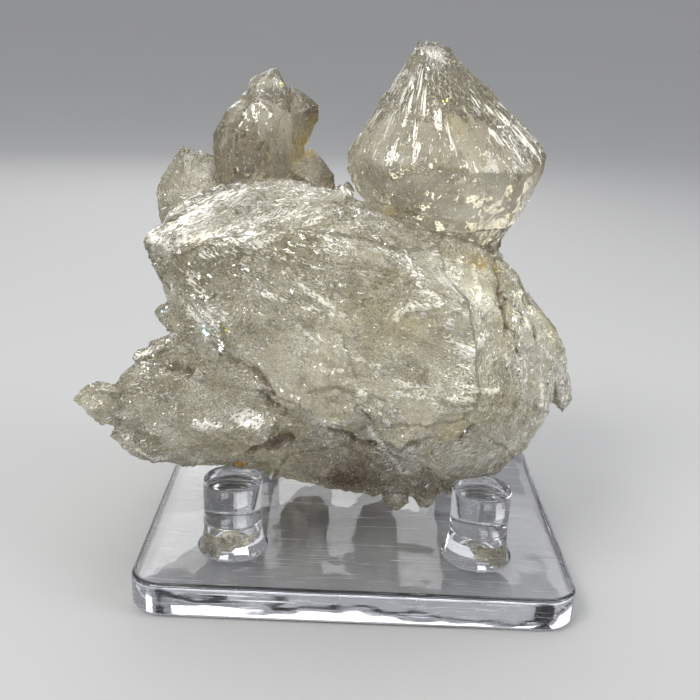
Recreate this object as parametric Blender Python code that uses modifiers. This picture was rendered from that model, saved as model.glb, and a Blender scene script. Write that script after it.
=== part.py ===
"""An elestial quartz cluster resting on a clear four-peg stand.

The origin is the middle of the stand's underside, +X to the right, +Y to the back and +Z up.
Lengths below are in millimetres, and MM turns them into metres.
"""

import math
import random
from collections import namedtuple

import bmesh
import bpy
from mathutils import Matrix, Vector

MM = 0.001

# Stand
PLATE_WIDTH = 94.0
PLATE_DEPTH = 76.0
PLATE_THICKNESS = 7.7
PLATE_CORNER_RADIUS = 7.0
PLATE_CORNER_SEGMENTS = 6
PLATE_EDGE_RADIUS = 1.1
PLATE_EDGE_SEGMENTS = 2
PEG_RADIUS = 6.35
PEG_HEIGHT = 16.4
PEG_FOOT_RADIUS = 7.7
PEG_FOOT_HEIGHT = 5.2
PEG_FLARE_SHARES = (0.0, 0.4, 0.75, 1.0)
PEG_RIM_RADIUS = 0.5
PEG_RING_HEIGHT = 7.2
PEG_RING_DEPTH = 0.25
PEG_SPACING_X = 53.7
PEG_SPACING_Y = 43.0
PEG_STEPS = 24
JOINT_GAP = 0.3

PEG_TOP = PLATE_THICKNESS + JOINT_GAP + PEG_HEIGHT
SEAT_HEIGHT = PEG_TOP + JOINT_GAP
SEAT_CLEARANCE = 0.9

# Quartz: the angle between the upright axis of a crystal and the normal of a tip face
TIP_FACE_ANGLE = math.radians(51.8)
PRISM_SIDES = 6
SIDE_ANGLE = math.tau / PRISM_SIDES
# Shares of a crystal's width: how far its three minor tip faces and all its tip faces sit from true,
# and the distance from its middle to a flat side
MINOR_FACE_OFFSET = 0.05
FACE_UNEVENNESS = 0.06
FLAT_HALF = 0.433
# Broken tips: the share of the width that is lost, and how far the break leans
BLUNT_SHARES = (0.0, 0.06, 0.12)
BLUNT_SLANT = 0.3
# A plate lies flat in its face unless the host's axis is nearly square to it
STEEP_SHARE = 0.35
PLATE_LEAN = 0.05
# Clean-up: faces nearer to flat than this are one, and points nearer than this are one
FLAT_ANGLE = math.radians(1.2)
WELD = 0.004
SEED = 40

Crystal = namedtuple("Crystal", "tip root width depth roll blunt", defaults=(0.0, 0.0))
Body = namedtuple("Body", "axis corners")

# The broad bodies, each with the direction of its crystal axis and its corners
BODIES = {
    "front_crystal": Body(
        (-0.95, -0.12, 0.28),
        [
            (-46.4, -14, 74.6), (-45.4, -12, 69.6), (-38.8, -9, 60.0), (-36.4, -4, 81.6),
            (-28.9, 0, 84.8), (-18.6, 0, 85.5), (-8.5, -3, 83.9), (3.0, -4, 80.9),
            (-40.2, -20, 74.8), (-25.6, -27, 77.0), (-13.5, -27.5, 80.8), (-5.0, -24, 82.2),
            (-34.6, -26, 65.3), (-29.6, -28, 46.2), (-12.5, -32.5, 46.0), (4.0, -34, 46.0),
            (6.0, -33, 74.0), (6.0, -12, 79.8), (20.0, -31.5, 68.0), (22.0, -27, 46.0),
            (-36.0, 10, 73.0), (-24.0, 14, 79.0), (4.0, 12, 76.0), (20.0, 10, 66.0),
            (20.0, 10, 46.0), (-32.0, 10, 50.0),
        ],
    ),
    "right_crystal": Body(
        (0.22, -0.05, 0.97),
        [
            (6.4, -8, 79.6), (15.1, -6, 77.2), (24.8, -4, 74.0), (28.8, -3, 71.4),
            (33.5, -4, 67.4), (34.0, -5, 60.0), (43.0, -8, 47.0), (42.3, -12, 38.2),
            (36.4, -14, 29.8), (31.7, -15, 24.8), (22.0, -17, 21.5), (9.0, -25, 31.5),
            (6.0, -33.6, 72.0), (15.0, -35, 68.5), (25.0, -28, 66.0), (18.3, -36.2, 50.7),
            (31.0, -29, 48.5), (-3.0, -34.2, 50.0), (7.0, -34.5, 40.0), (8.0, 12, 76.0),
            (27.0, 12, 68.0), (37.0, 10, 54.0), (33.0, 10, 30.0), (8.0, 12, 26.0),
        ],
    ),
    "lower_arm": Body(
        (-0.94, 0.0, -0.28),
        [
            (-38.8, -12, 52.2), (-49.9, -12, 46.5), (-54.7, -12, 40.8), (-54.7, -14, 29.6),
            (-50.5, -15, 25.3), (-44.8, -16, 24.6), (-27.7, -15, 24.4), (-16.0, -18, 23.2),
            (-32.7, -27, 51.1), (-41.3, -25, 43.3), (-29.3, -30, 38.6), (-10.0, -31, 44.6),
            (-15.0, -26, 32.0), (-44.0, 3, 47.0), (-49.5, 3, 35.0), (-40.0, 10, 27.0),
            (-16.0, 12, 24.0), (-16.0, 10, 50.0),
        ],
    ),
    "underside": Body(
        (0.1, -0.5, -0.85),
        [
            (-20.0, -17, 23.0), (-14.9, -17, 21.9), (-2.6, -17, 19.4), (6.0, -16, 18.5),
            (17.6, -14, 17.0), (24.0, -11, 20.0), (7.0, -29, 35.0), (8.0, -31, 46.0),
            (-14.0, -31.5, 46.5), (-20.0, -28, 40.0), (-18.0, 12, 21.0), (2.0, 14, 17.5),
            (20.0, 12, 20.0), (20.0, 8, 45.0), (-20.0, 8, 45.0),
        ],
    ),
    "front_lobe": Body(
        (-0.2, -0.3, -0.93),
        [
            (-12.2, -32.5, 47.4), (-9.4, -33.8, 44.8), (-5.4, -34.3, 43.6), (-2.0, -34.8, 45.8),
            (-0.3, -34.6, 50.0), (-6.0, -35.9, 52.5), (-5.0, -33.2, 62.0), (-12.5, -31.5, 56.0),
            (-6.0, -25, 46.0), (-6.0, -25, 60.0),
        ],
    ),
    "back_body": Body(
        (-0.6, 0.3, 0.74),
        [
            (-36.0, 16, 31.0), (-31.0, 24, 38.0), (-34.0, 17, 60.0), (-26.0, 16, 75.0),
            (-2.0, 20, 77.0), (22.0, 18, 67.0), (35.0, 15, 48.0), (34.0, 22, 32.0),
            (25.0, 26, 24.2), (-26.0, 26, 24.2), (32.0, 15, 24.4), (-32.0, 15, 24.4),
            (4.0, 27, 52.0), (-12.0, 26, 62.0),
            (-30.0, 0, 30.0), (30.0, 0, 30.0), (0.0, 0, 77.0), (0.0, 8, 22.0),
        ],
    ),
    "yellow_shoulder": Body(
        (0.3, 0.0, 0.95),
        [
            (33.2, -4, 63.4), (37.2, -3, 62.3), (42.2, -4, 56.6), (44.6, -6, 51.4),
            (45.3, -6, 48.7), (43.5, -7, 46.5), (37.0, -15, 57.0), (36.0, -18, 48.0),
            (38.0, 7, 60.0), (40.0, 7, 48.0), (30.0, 0, 48.0),
        ],
    ),
    "diamond_crystal": Body(
        (-0.14, 0.0, 0.99),
        [
            (8.1, 4, 112.4), (9.4, 3, 113.8), (12.2, 6.5, 114.0), (14.9, 5, 113.0), (15.4, 5.5, 110.0),
            (10.2, -0.5, 108.8), (13.0, 9.5, 110.5),
            (-5.1, 5, 91.0), (-5.2, 5, 87.6), (2.2, -10.5, 90.6), (19.6, -12.2, 90.2),
            (35.9, 3.5, 94.6), (37.9, 4, 92.0), (37.7, 4, 88.4), (33.0, -5, 89.6),
            (3.0, 19, 91.5), (27.0, 21, 92.0),
            (-2.8, 3, 82.6), (4.5, -9.0, 81.0), (20.0, -10.2, 80.0), (35.8, 5.5, 82.0), (31.0, -3, 79.6),
            (27.0, 17, 80.0), (5.0, 16, 80.0),
            (30.9, 5, 73.0), (26.0, -3, 72.0), (8.0, -6, 74.0), (10.0, 12, 72.0), (26.0, 13, 70.0),
        ],
    ),
    "diamond_foot": Body(
        (-0.14, 0.0, 0.99),
        [
            (31.0, 5, 74.0), (30.1, 6, 68.0), (26.0, -1, 74.0), (24.0, 0, 66.0),
            (20.0, 12, 66.0), (28.0, 12, 72.0), (14.0, 4, 74.0), (14.0, 4, 66.0),
        ],
    ),
    "egg_crystal": Body(
        (-0.05, 0.1, 0.99),
        [
            (-35.6, 12, 85.0), (-35.4, 12, 92.6), (-32.6, 13, 97.9), (-28.0, 14, 102.0), (-23.0, 14, 103.8),
            (-18.8, 14, 102.4), (-15.6, 14, 96.5), (-14.8, 13, 88.0),
            (-30.0, 4.5, 87.0), (-21.0, 3.6, 86.0), (-30.0, 5.6, 94.0), (-22.0, 4.6, 95.0), (-25.5, 8, 101.2),
            (-30.0, 21, 88.0), (-21.0, 22, 87.0), (-28.5, 20, 97.0), (-21.0, 21, 96.0),
            (-31.0, 8, 72.0), (-19.0, 8, 72.0), (-19.0, 16, 72.0), (-31.0, 16, 72.0),
        ],
    ),
    "lobe_crystal": Body(
        (0.15, 0.1, 0.98),
        [
            (-18.6, 14, 103.6), (-15.4, 14, 101.9), (-12.4, 14, 99.4), (-12.4, 14, 96.4), (-14.1, 14, 91.8),
            (-17.0, 9.5, 98.0), (-17.0, 10, 92.0), (-17.0, 18.5, 98.0), (-17.0, 18, 90.0),
            (-20.0, 14, 94.0), (-18.0, 13, 85.0),
        ],
    ),
    "pale_crystal": Body(
        (-0.25, -0.1, 0.96),
        [
            (-41.8, 10, 89.7), (-46.9, 9, 82.0), (-47.7, 8, 78.2), (-46.4, 4, 73.4),
            (-35.4, 11, 87.9), (-34.0, 4, 80.0), (-40.0, 0, 79.0), (-42.0, 16, 76.0),
            (-33.0, 18, 84.0), (-34.0, 2, 66.0), (-40.0, 8, 62.0), (-32.0, 16, 66.0),
        ],
    ),
    "dark_crystal": Body(
        (0.3, 0.2, 0.93),
        [
            (-13.6, 12, 90.3), (-10.2, 12, 87.4), (-7.6, 12, 84.8), (-7.0, 12, 81.0),
            (-12.0, 6, 83.0), (-18.0, 8, 86.0), (-18.0, 16, 86.0), (-10.0, 18, 82.0),
            (-14.0, 10, 74.0),
        ],
    ),
}

# The single crystals: tip, root, width across corners, depth, roll in degrees, blunt share of the tip
CRYSTALS = {
    "cap_crystal": Crystal((-22.4, 14, 107.4), (-24.8, 13.5, 96.0), 9.4, 7.5, 0.0, 0.03),
    "cap_chip": Crystal((-26.6, 13, 104.6), (-22.0, 14, 99.0), 4.6, 4.0, 0.0, 0.05),
    "arm_tip_crystal": Crystal((-62.8, -12, 37.0), (-48.0, -13, 36.2), 9.6, 9.0, 0.0),
    "left_crystal": Crystal((-44.9, -12, 57.9), (-31.0, -10, 55.4), 8.6, 8.0, 12.0),
    "arm_ledge_crystal": Crystal((-50.6, -11.5, 47.0), (-38.0, -11, 51.8), 3.6, 6.0, 0.0, 0.1),
    "right_edge_crystal": Crystal((45.8, -6, 36.4), (41.9, -5, 51.0), 6.4, 8.0, 10.0, 0.1),
    "shoulder_slab": Crystal((30.6, -13.2, 68.0), (31.4, -14.6, 54.6), 4.6, 6.0, -30.0, 0.1),
    "left_knob": Crystal((8.6, -16.5, 14.2), (9.0, -12, 27.0), 7.0, 6.4, 10.0, 0.08),
    "right_knob": Crystal((15.4, -16.0, 14.9), (15.4, -11, 28.0), 7.6, 6.6, 0.0, 0.1),
    "ridge_bump": Crystal((-5.0, 9, 84.0), (-6.4, 7, 74.0), 4.2, 4.0, 0.0, 0.1),
    "apex_chip_left": Crystal((9.2, 3.6, 114.4), (11.0, 4.5, 105.0), 3.6, 3.4, 0.0, 0.05),
    "apex_chip_right": Crystal((14.6, 6.0, 113.8), (12.6, 5.5, 104.0), 4.4, 4.0, 20.0, 0.08),
    "rear_left_crystal": Crystal((-38.0, 26, 64.0), (-10.0, 10, 44.0), 22.0, 17.0, 20.0, 0.05),
    "rear_right_crystal": Crystal((35.0, 25, 62.0), (10.0, 8, 40.0), 20.0, 16.0, 0.0, 0.05),
    "rear_middle_crystal": Crystal((-4.0, 33.0, 60.0), (2.0, 6, 40.0), 26.0, 20.0, 10.0, 0.06),
    "rear_low_crystal": Crystal((12.0, 31.0, 28.0), (2.0, 2, 42.0), 20.0, 17.0, 25.0, 0.05),
    "rear_top_crystal": Crystal((-24.0, 28, 88.0), (-10.0, 12, 58.0), 16.0, 14.0, 15.0, 0.05),
    "rear_arm_crystal": Crystal((-51.0, 12, 41.0), (-24.0, 4, 40.0), 18.0, 15.0, 5.0, 0.04),
}

# The parallel growth: how many plates each host carries, how many hollows are sunk in it, the smallest and
# largest size of both, and how far a plate stands proud
Growth = namedtuple("Growth", "plates hollows width depth length proud")
GROWTHS = {
    "front_crystal": Growth(20, 5, (6.0, 15.0), (2.4, 5.0), (12.0, 28.0), 0.45),
    "right_crystal": Growth(18, 4, (5.0, 12.0), (2.4, 5.0), (10.0, 24.0), 0.5),
    "lower_arm": Growth(13, 3, (4.0, 9.0), (2.4, 5.0), (7.0, 14.0), 0.8),
    "underside": Growth(10, 2, (4.0, 8.0), (3.0, 6.0), (6.0, 11.0), 0.9),
    "back_body": Growth(20, 5, (5.0, 12.0), (3.0, 6.0), (9.0, 20.0), 1.1),
    "diamond_crystal": Growth(8, 0, (4.0, 8.0), (2.0, 3.5), (7.0, 12.0), 0.3),
    "egg_crystal": Growth(6, 0, (4.0, 8.0), (2.0, 4.0), (6.0, 12.0), 0.35),
    "pale_crystal": Growth(6, 1, (3.0, 6.0), (2.0, 4.0), (4.0, 9.0), 0.5),
    "rear_left_crystal": Growth(5, 1, (4.0, 7.0), (2.0, 4.0), (5.0, 12.0), 0.6),
    "rear_right_crystal": Growth(5, 1, (4.0, 7.0), (2.0, 4.0), (5.0, 12.0), 0.6),
    "rear_middle_crystal": Growth(6, 1, (4.0, 7.0), (2.0, 4.0), (5.0, 12.0), 0.6),
    "rear_low_crystal": Growth(4, 1, (4.0, 7.0), (2.0, 4.0), (5.0, 12.0), 0.6),
}


def clear_scene():
    for obj in list(bpy.data.objects):
        bpy.data.objects.remove(obj)


def new_collection(name, hidden=False):
    collection = bpy.data.collections.new(name)
    collection.hide_render = hidden
    bpy.context.scene.collection.children.link(collection)
    return collection


def new_material(name, colour, roughness, metallic=0.0):
    material = bpy.data.materials.new(name)
    material.use_nodes = True
    shader = material.node_tree.nodes["Principled BSDF"]
    shader.inputs["Base Color"].default_value = (*colour, 1.0)
    shader.inputs["Roughness"].default_value = roughness
    shader.inputs["Metallic"].default_value = metallic
    return material


def new_object(name, bm, collection, material=None):
    mesh = bpy.data.meshes.new(name)
    bm.to_mesh(mesh)
    bm.free()
    obj = bpy.data.objects.new(name, mesh)
    collection.objects.link(obj)
    if material:
        mesh.materials.append(material)
    return obj


def make_helper(obj):
    obj.hide_render = True
    obj.display_type = "WIRE"
    return obj


def applied(obj):
    """The object's mesh with its modifiers worked in, in place of them."""
    graph = bpy.context.evaluated_depsgraph_get()
    mesh = bpy.data.meshes.new_from_object(obj.evaluated_get(graph))
    obj.modifiers.clear()
    obj.data = mesh


def crystal_frame(axis, roll):
    """Turns +Z to the crystal axis, with the crystal's width seen from the front at roll 0."""
    axis = Vector(axis).normalized()
    side = Vector((0, 1, 0)).cross(axis).normalized()
    frame = Matrix((side, axis.cross(side), axis)).transposed().to_4x4()
    return frame @ Matrix.Rotation(math.radians(roll), 4, "Z")


def cut_away(bm, point, normal):
    """Cuts a convex body with a plane, drops what lies outside and closes the cut."""
    cut = bmesh.ops.bisect_plane(
        bm, geom=bm.verts[:] + bm.edges[:] + bm.faces[:], plane_co=point, plane_no=normal, clear_outer=True
    )
    edges = [item for item in cut["geom_cut"] if isinstance(item, bmesh.types.BMEdge)]
    if edges:
        bmesh.ops.contextual_create(bm, geom=edges)


def crystal_body(length, width, depth, blunt, rng):
    """A six-sided prism along +Z whose ends are cut to six uneven tip faces, its middle at the origin."""
    bm = bmesh.new()
    tall = length / width
    bmesh.ops.create_cone(bm, cap_ends=True, segments=PRISM_SIDES, radius1=0.5, radius2=0.5, depth=tall)
    half = tall / 2
    for end in (1, -1):
        for side in range(PRISM_SIDES):
            turn = (side + 0.5) * SIDE_ANGLE
            normal = Vector((math.cos(turn), math.sin(turn), 0)) * math.sin(TIP_FACE_ANGLE)
            normal.z = end * math.cos(TIP_FACE_ANGLE)
            minor = (side % 2 == 0) == (end == 1)
            offset = (MINOR_FACE_OFFSET if minor else 0) + rng.uniform(0, FACE_UNEVENNESS)
            cut_away(bm, Vector((0, 0, end * half)) + normal * offset, normal)
        if blunt:
            slant = Vector([rng.uniform(-BLUNT_SLANT, BLUNT_SLANT) for _ in range(2)] + [end])
            cut_away(bm, Vector((0, 0, end * (half - blunt))), slant.normalized())
    bmesh.ops.scale(bm, verts=bm.verts[:], vec=(width, depth, width))
    return bm


def grown_crystal(name, shape, collection, rng):
    """One crystal between its tip and its root."""
    tip, root = Vector(shape.tip), Vector(shape.root)
    axis = tip - root
    bm = crystal_body(axis.length, shape.width, shape.depth, shape.blunt, rng)
    place = Matrix.Translation((tip + root) / 2) @ crystal_frame(axis, shape.roll)
    bmesh.ops.transform(bm, matrix=Matrix.Scale(MM, 4) @ place, verts=bm.verts[:])
    return make_helper(new_object(name, bm, collection))


def hull_body(name, corners, collection):
    """The flat-faced convex body that its corners span."""
    bm = bmesh.new()
    for corner in corners:
        bm.verts.new(Vector(corner) * MM)
    hull = bmesh.ops.convex_hull(bm, input=bm.verts[:])
    loose = [item for item in hull["geom_interior"] if isinstance(item, bmesh.types.BMVert)]
    bmesh.ops.delete(bm, geom=loose, context="VERTS")
    bmesh.ops.dissolve_limit(bm, angle_limit=FLAT_ANGLE, verts=bm.verts[:], edges=bm.edges[:])
    bmesh.ops.recalc_face_normals(bm, faces=bm.faces[:])
    return make_helper(new_object(name, bm, collection))


def inside(point, planes):
    return all((point - foot).dot(normal) < 0 for foot, normal in planes)


def face_planes(obj):
    return [(face.center.copy(), face.normal.copy()) for face in obj.data.polygons]


def point_on(face, vertices, rng):
    """A random point of a face."""
    corners = [vertices[index].co for index in face.vertices]
    shares = [rng.random() for _ in corners]
    return sum((corner * share for corner, share in zip(corners, shares)), Vector()) / sum(shares)


def plate_frame(axis, normal, rng):
    """A plate lies flat in its face along the host's axis, a few degrees out of true."""
    along = axis - normal * axis.dot(normal)
    if along.length < STEEP_SHARE:
        along = axis
    lean = Vector([rng.uniform(-PLATE_LEAN, PLATE_LEAN) for _ in range(3)])
    along = (along.normalized() + lean).normalized()
    side = normal.cross(along).normalized()
    return Matrix((side, along.cross(side), along)).transposed().to_4x4(), abs(along.dot(normal))


def plate(name, host, face, axis, growth, proud, collection, rng):
    """One flat crystal at a random place of a face, proud of it, or sunk in it where proud is negative."""
    width = rng.uniform(*growth.width)
    depth = rng.uniform(*growth.depth)
    length = rng.uniform(*growth.length)
    frame, steepness = plate_frame(axis, face.normal, rng)
    half = steepness * length / 2 + (1 - steepness) * depth * FLAT_HALF
    if proud < 0:
        half = -half
    middle = point_on(face, host.data.vertices, rng) / MM + face.normal * (proud - half)
    bm = crystal_body(length, width, depth, rng.choice(BLUNT_SHARES), rng)
    place = Matrix.Scale(MM, 4) @ Matrix.Translation(middle) @ frame
    bmesh.ops.transform(bm, matrix=place, verts=bm.verts[:])
    make_helper(new_object(name, bm, collection))


def open_faces(host, others, rng, wanted):
    """Random faces of the host, larger ones more often, whose middles lie outside all the other crystals."""
    faces = [face for face in host.data.polygons if not any(inside(face.center, planes) for planes in others)]
    return rng.choices(faces, [face.area for face in faces], k=wanted) if faces else []


def spread_growth(host, axis, growth, others, plates, hollows, rng):
    """Plates and hollows parallel to their host, so that ledges and steps break up its faces."""
    axis = Vector(axis).normalized()
    for index, face in enumerate(open_faces(host, others, rng, growth.plates)):
        proud = growth.proud * rng.uniform(0.5, 1.4)
        plate(f"{host.name}_plate_{index}", host, face, axis, growth, proud, plates, rng)
    for index, face in enumerate(open_faces(host, others, rng, growth.hollows)):
        sunk = -growth.proud * rng.uniform(0.7, 1.3)
        plate(f"{host.name}_hollow_{index}", host, face, axis, growth, sunk, hollows, rng)


def build_growth(collection, hollows):
    """All the crystals of the cluster as separate convex bodies, and the hollows in their faces."""
    rng = random.Random(SEED)
    axes = {}
    hosts = {}
    for name, body in BODIES.items():
        hosts[name] = hull_body(name, body.corners, collection)
        axes[name] = body.axis
    for name, shape in CRYSTALS.items():
        hosts[name] = grown_crystal(name, shape, collection, rng)
        axes[name] = Vector(shape.tip) - Vector(shape.root)
    planes = {name: face_planes(host) for name, host in hosts.items()}
    for name, growth in GROWTHS.items():
        others = [planes[other] for other in planes if other != name]
        spread_growth(hosts[name], axes[name], growth, others, collection, hollows, rng)


def peg_places():
    """The middle of each peg, by name."""
    x = PEG_SPACING_X / 2
    y = PEG_SPACING_Y / 2
    return {
        "front_left_peg": (-x, -y),
        "front_right_peg": (x, -y),
        "rear_left_peg": (-x, y),
        "rear_right_peg": (x, y),
    }


def build_seats(collection):
    """Cutters that keep the stone clear of the pegs, so that it rests on their flat tops."""
    for name, (x, y) in peg_places().items():
        bm = bmesh.new()
        radius = (PEG_RADIUS + SEAT_CLEARANCE) * MM
        bmesh.ops.create_cone(
            bm, cap_ends=True, segments=PEG_STEPS, radius1=radius, radius2=radius, depth=SEAT_HEIGHT * MM
        )
        seat = make_helper(new_object(f"{name}_seat", bm, collection))
        seat.location = (x * MM, y * MM, SEAT_HEIGHT * MM / 2)


def drop_chips(bm):
    """Takes away any chip that hangs on the main body by no more than a point."""
    groups = []
    seen = set()
    for start in bm.faces:
        if start in seen:
            continue
        group = {start}
        front = [start]
        while front:
            face = front.pop()
            for edge in face.edges:
                for other in edge.link_faces:
                    if other not in group:
                        group.add(other)
                        front.append(other)
        seen |= group
        groups.append(group)
    groups.sort(key=len)
    for group in groups[:-1]:
        bmesh.ops.delete(bm, geom=list(group), context="FACES")


def carve(cluster, name, operation, collection):
    """A Boolean with everything in a collection."""
    step = cluster.modifiers.new(name, "BOOLEAN")
    step.operation = operation
    step.solver = "EXACT"
    step.operand_type = "COLLECTION"
    step.collection = collection


def build_cluster(parts, growth, hollows, seats, material):
    """Joins the crystals in one solid and takes the hollows and the seats out of it."""
    first = growth.objects["front_crystal"]
    cluster = bpy.data.objects.new("quartz_cluster", first.data.copy())
    parts.objects.link(cluster)
    growth.objects.unlink(first)
    carve(cluster, "Join the crystals", "UNION", growth)
    carve(cluster, "Sink the hollows", "DIFFERENCE", hollows)
    carve(cluster, "Rest on the pegs", "DIFFERENCE", seats)
    applied(cluster)
    bm = bmesh.new()
    bm.from_mesh(cluster.data)
    bmesh.ops.remove_doubles(bm, verts=bm.verts[:], dist=WELD * MM)
    bmesh.ops.dissolve_degenerate(bm, edges=bm.edges[:], dist=WELD * MM)
    drop_chips(bm)
    bm.to_mesh(cluster.data)
    bm.free()
    cluster.data.materials.clear()
    cluster.data.materials.append(material)
    return cluster


def build_plate(parts, material):
    """The plate: a box with rounded corners and softly broken edges."""
    bm = bmesh.new()
    bmesh.ops.create_cube(bm, size=1)
    size = Vector((PLATE_WIDTH, PLATE_DEPTH, PLATE_THICKNESS)) * MM
    bmesh.ops.scale(bm, vec=size, verts=bm.verts[:])
    bmesh.ops.translate(bm, vec=(0, 0, size.z / 2), verts=bm.verts[:])
    upright = [edge for edge in bm.edges if abs(edge.verts[0].co.z - edge.verts[1].co.z) > size.z / 2]
    bmesh.ops.bevel(
        bm,
        geom=upright,
        offset=PLATE_CORNER_RADIUS * MM,
        segments=PLATE_CORNER_SEGMENTS,
        profile=0.5,
        affect="EDGES",
    )
    plate = new_object("base_plate", bm, parts, material)
    edges = plate.modifiers.new("Break the edges", "BEVEL")
    edges.width = PLATE_EDGE_RADIUS * MM
    edges.segments = PLATE_EDGE_SEGMENTS
    edges.limit_method = "ANGLE"
    return plate


def peg_profile():
    """The right half of a peg from the middle of its top down to the middle of its foot."""
    top = PEG_HEIGHT
    rim = PEG_RIM_RADIUS
    ring = PEG_RING_HEIGHT
    groove = PEG_RING_DEPTH
    points = [(0, top), (PEG_RADIUS - rim, top), (PEG_RADIUS, top - rim)]
    points += [(PEG_RADIUS, ring + groove), (PEG_RADIUS - groove, ring), (PEG_RADIUS, ring - groove)]
    flare = PEG_FOOT_RADIUS - PEG_RADIUS
    for share in PEG_FLARE_SHARES:
        points.append((PEG_RADIUS + flare * share**2, PEG_FOOT_HEIGHT * (1 - share) + rim * share))
    points += [(PEG_FOOT_RADIUS, 0), (0, 0)]
    return points


def build_peg(name, place, parts, material):
    """A turned peg that stands on the plate."""
    bm = bmesh.new()
    last = None
    for radius, height in peg_profile():
        vert = bm.verts.new((radius * MM, 0, height * MM))
        if last:
            bm.edges.new((last, vert))
        last = vert
    peg = new_object(name, bm, parts, material)
    peg.location = (place[0] * MM, place[1] * MM, (PLATE_THICKNESS + JOINT_GAP) * MM)
    turn = peg.modifiers.new("Turn", "SCREW")
    turn.steps = PEG_STEPS
    turn.render_steps = PEG_STEPS
    turn.use_merge_vertices = True
    turn.merge_threshold = 0.00001
    turn.use_smooth_shade = True
    return peg


def main():
    clear_scene()
    parts = new_collection("elestial_quartz")
    growth = new_collection("growth", hidden=True)
    hollows = new_collection("hollows", hidden=True)
    seats = new_collection("seats", hidden=True)
    quartz = new_material("quartz", (0.62, 0.59, 0.52), 0.28)
    acrylic = new_material("acrylic", (0.86, 0.87, 0.92), 0.08)
    build_plate(parts, acrylic)
    for name, place in peg_places().items():
        build_peg(name, place, parts, acrylic)
    build_growth(growth, hollows)
    build_seats(seats)
    build_cluster(parts, growth, hollows, seats, quartz)


main()
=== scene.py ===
# %% [markdown]
# # Elestial quartz on a clear stand
# An elestial quartz is a cluster of crystals that grew together, layer on layer, so its faces are
# covered in ledges, steps and shallow pits. Fine healed cracks inside it flash silver.
# The solids of the part give the crystals their place and size. This lesson dresses them: a finely
# stepped skin, the flakes inside, iron stains, and the clear stand that carries the stone.

# %% Load the frame
import math

import bmesh
import bpy
import numpy as np
from mathutils import Matrix, Vector
from mathutils.bvhtree import BVHTree


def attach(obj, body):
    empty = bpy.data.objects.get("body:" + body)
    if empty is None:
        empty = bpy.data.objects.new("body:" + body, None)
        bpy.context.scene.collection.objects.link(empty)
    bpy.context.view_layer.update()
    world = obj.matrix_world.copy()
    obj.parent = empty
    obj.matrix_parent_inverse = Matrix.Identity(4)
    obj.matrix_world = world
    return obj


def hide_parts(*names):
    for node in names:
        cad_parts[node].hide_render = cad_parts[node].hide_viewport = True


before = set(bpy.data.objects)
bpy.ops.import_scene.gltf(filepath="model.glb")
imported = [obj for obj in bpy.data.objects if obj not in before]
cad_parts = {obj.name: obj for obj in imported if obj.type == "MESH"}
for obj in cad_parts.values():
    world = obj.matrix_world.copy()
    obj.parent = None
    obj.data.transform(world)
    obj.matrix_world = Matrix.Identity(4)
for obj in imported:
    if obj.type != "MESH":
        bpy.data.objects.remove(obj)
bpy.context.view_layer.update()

MM = 0.001
print("triangles of each solid:", {name: len(node.data.polygons) for name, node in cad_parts.items()})

# %% [markdown]
# ## The camera first
# The stone was photographed from a little above and slightly from the left. The camera's place was
# worked out from the stand, whose pegs are turned from half-inch rod, so it is set before anything
# is dressed and every later step is judged through it. It could be placed by eye, but a camera that
# fits a part of known size also gives the stone its true size.

# %% Camera
CAMERA_PLACE = Vector((-4.2, -194.0, 117.1)) * MM
CAMERA_RIGHT = Vector((0.99910, 0.00776, 0.04167))
CAMERA_UP = Vector((-0.04182, 0.34036, 0.93936))
CAMERA_BACK = -Vector((0.00689, 0.94026, -0.34038))
CAMERA_LENS = 46.29
CAMERA_SENSOR = 36.0
CAMERA_NEAREST = 0.001

camera_data = bpy.data.cameras.new("camera")
camera_data.lens = CAMERA_LENS
camera_data.sensor_width = CAMERA_SENSOR
camera_data.clip_start = CAMERA_NEAREST
camera = bpy.data.objects.new("camera", camera_data)
bpy.context.scene.collection.objects.link(camera)
camera_turn = Matrix((CAMERA_RIGHT, CAMERA_UP, CAMERA_BACK)).transposed().to_4x4()
camera.matrix_world = Matrix.Translation(CAMERA_PLACE) @ camera_turn
bpy.context.scene.camera = camera
print("camera at", [round(x / MM, 1) for x in CAMERA_PLACE], "mm, lens", CAMERA_LENS, "mm")

# %% [markdown]
# ## Where the light comes from
# Clear stone is seen by what it mirrors and bends, so the panels are planned before the stone is
# dressed: one above the left shoulder for the flashes, and softer ones from the side, top and back.
# Each has a place, a size, a power and a tint. The flashing step faces further down are tipped to
# mirror the first panel, which is why the table comes this early.

# %% Table of the panels
AIM = Vector((-0.005, 0.0, 0.055))
LIGHTS = {
    "key": ((-0.28, -0.30, 0.52), (0.26, 0.20), 2.4, (1.0, 0.985, 0.95)),
    "side": ((0.50, -0.12, 0.34), (0.22, 0.34), 1.2, (0.95, 0.97, 1.0)),
    "top": ((0.02, 0.12, 0.62), (0.42, 0.30), 0.9, (1.0, 1.0, 1.0)),
    "back": ((-0.12, 0.52, 0.30), (0.40, 0.24), 0.7, (1.0, 0.99, 0.97)),
}
print("panels:", list(LIGHTS))

# %% [markdown]
# ## Small helpers for the meshes
# Each helper does one thing: pick an object, read or place its points, or keep a number on them.
# Keeping them short means that the cells below read as steps of the work.


# %% Helpers for meshes
def pick_only(obj):
    """Leaves obj as the one selected and active object."""
    for other in bpy.context.selected_objects:
        other.select_set(False)
    obj.select_set(True)
    bpy.context.view_layer.objects.active = obj


def points_of(obj):
    """The vertices of obj in millimetres."""
    flat = np.empty(len(obj.data.vertices) * 3)
    obj.data.vertices.foreach_get("co", flat)
    return flat.reshape(-1, 3) / MM


def set_points(obj, points):
    """Puts the vertices of obj at points, given in millimetres."""
    obj.data.vertices.foreach_set("co", (points * MM).ravel())
    obj.data.update()


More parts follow.
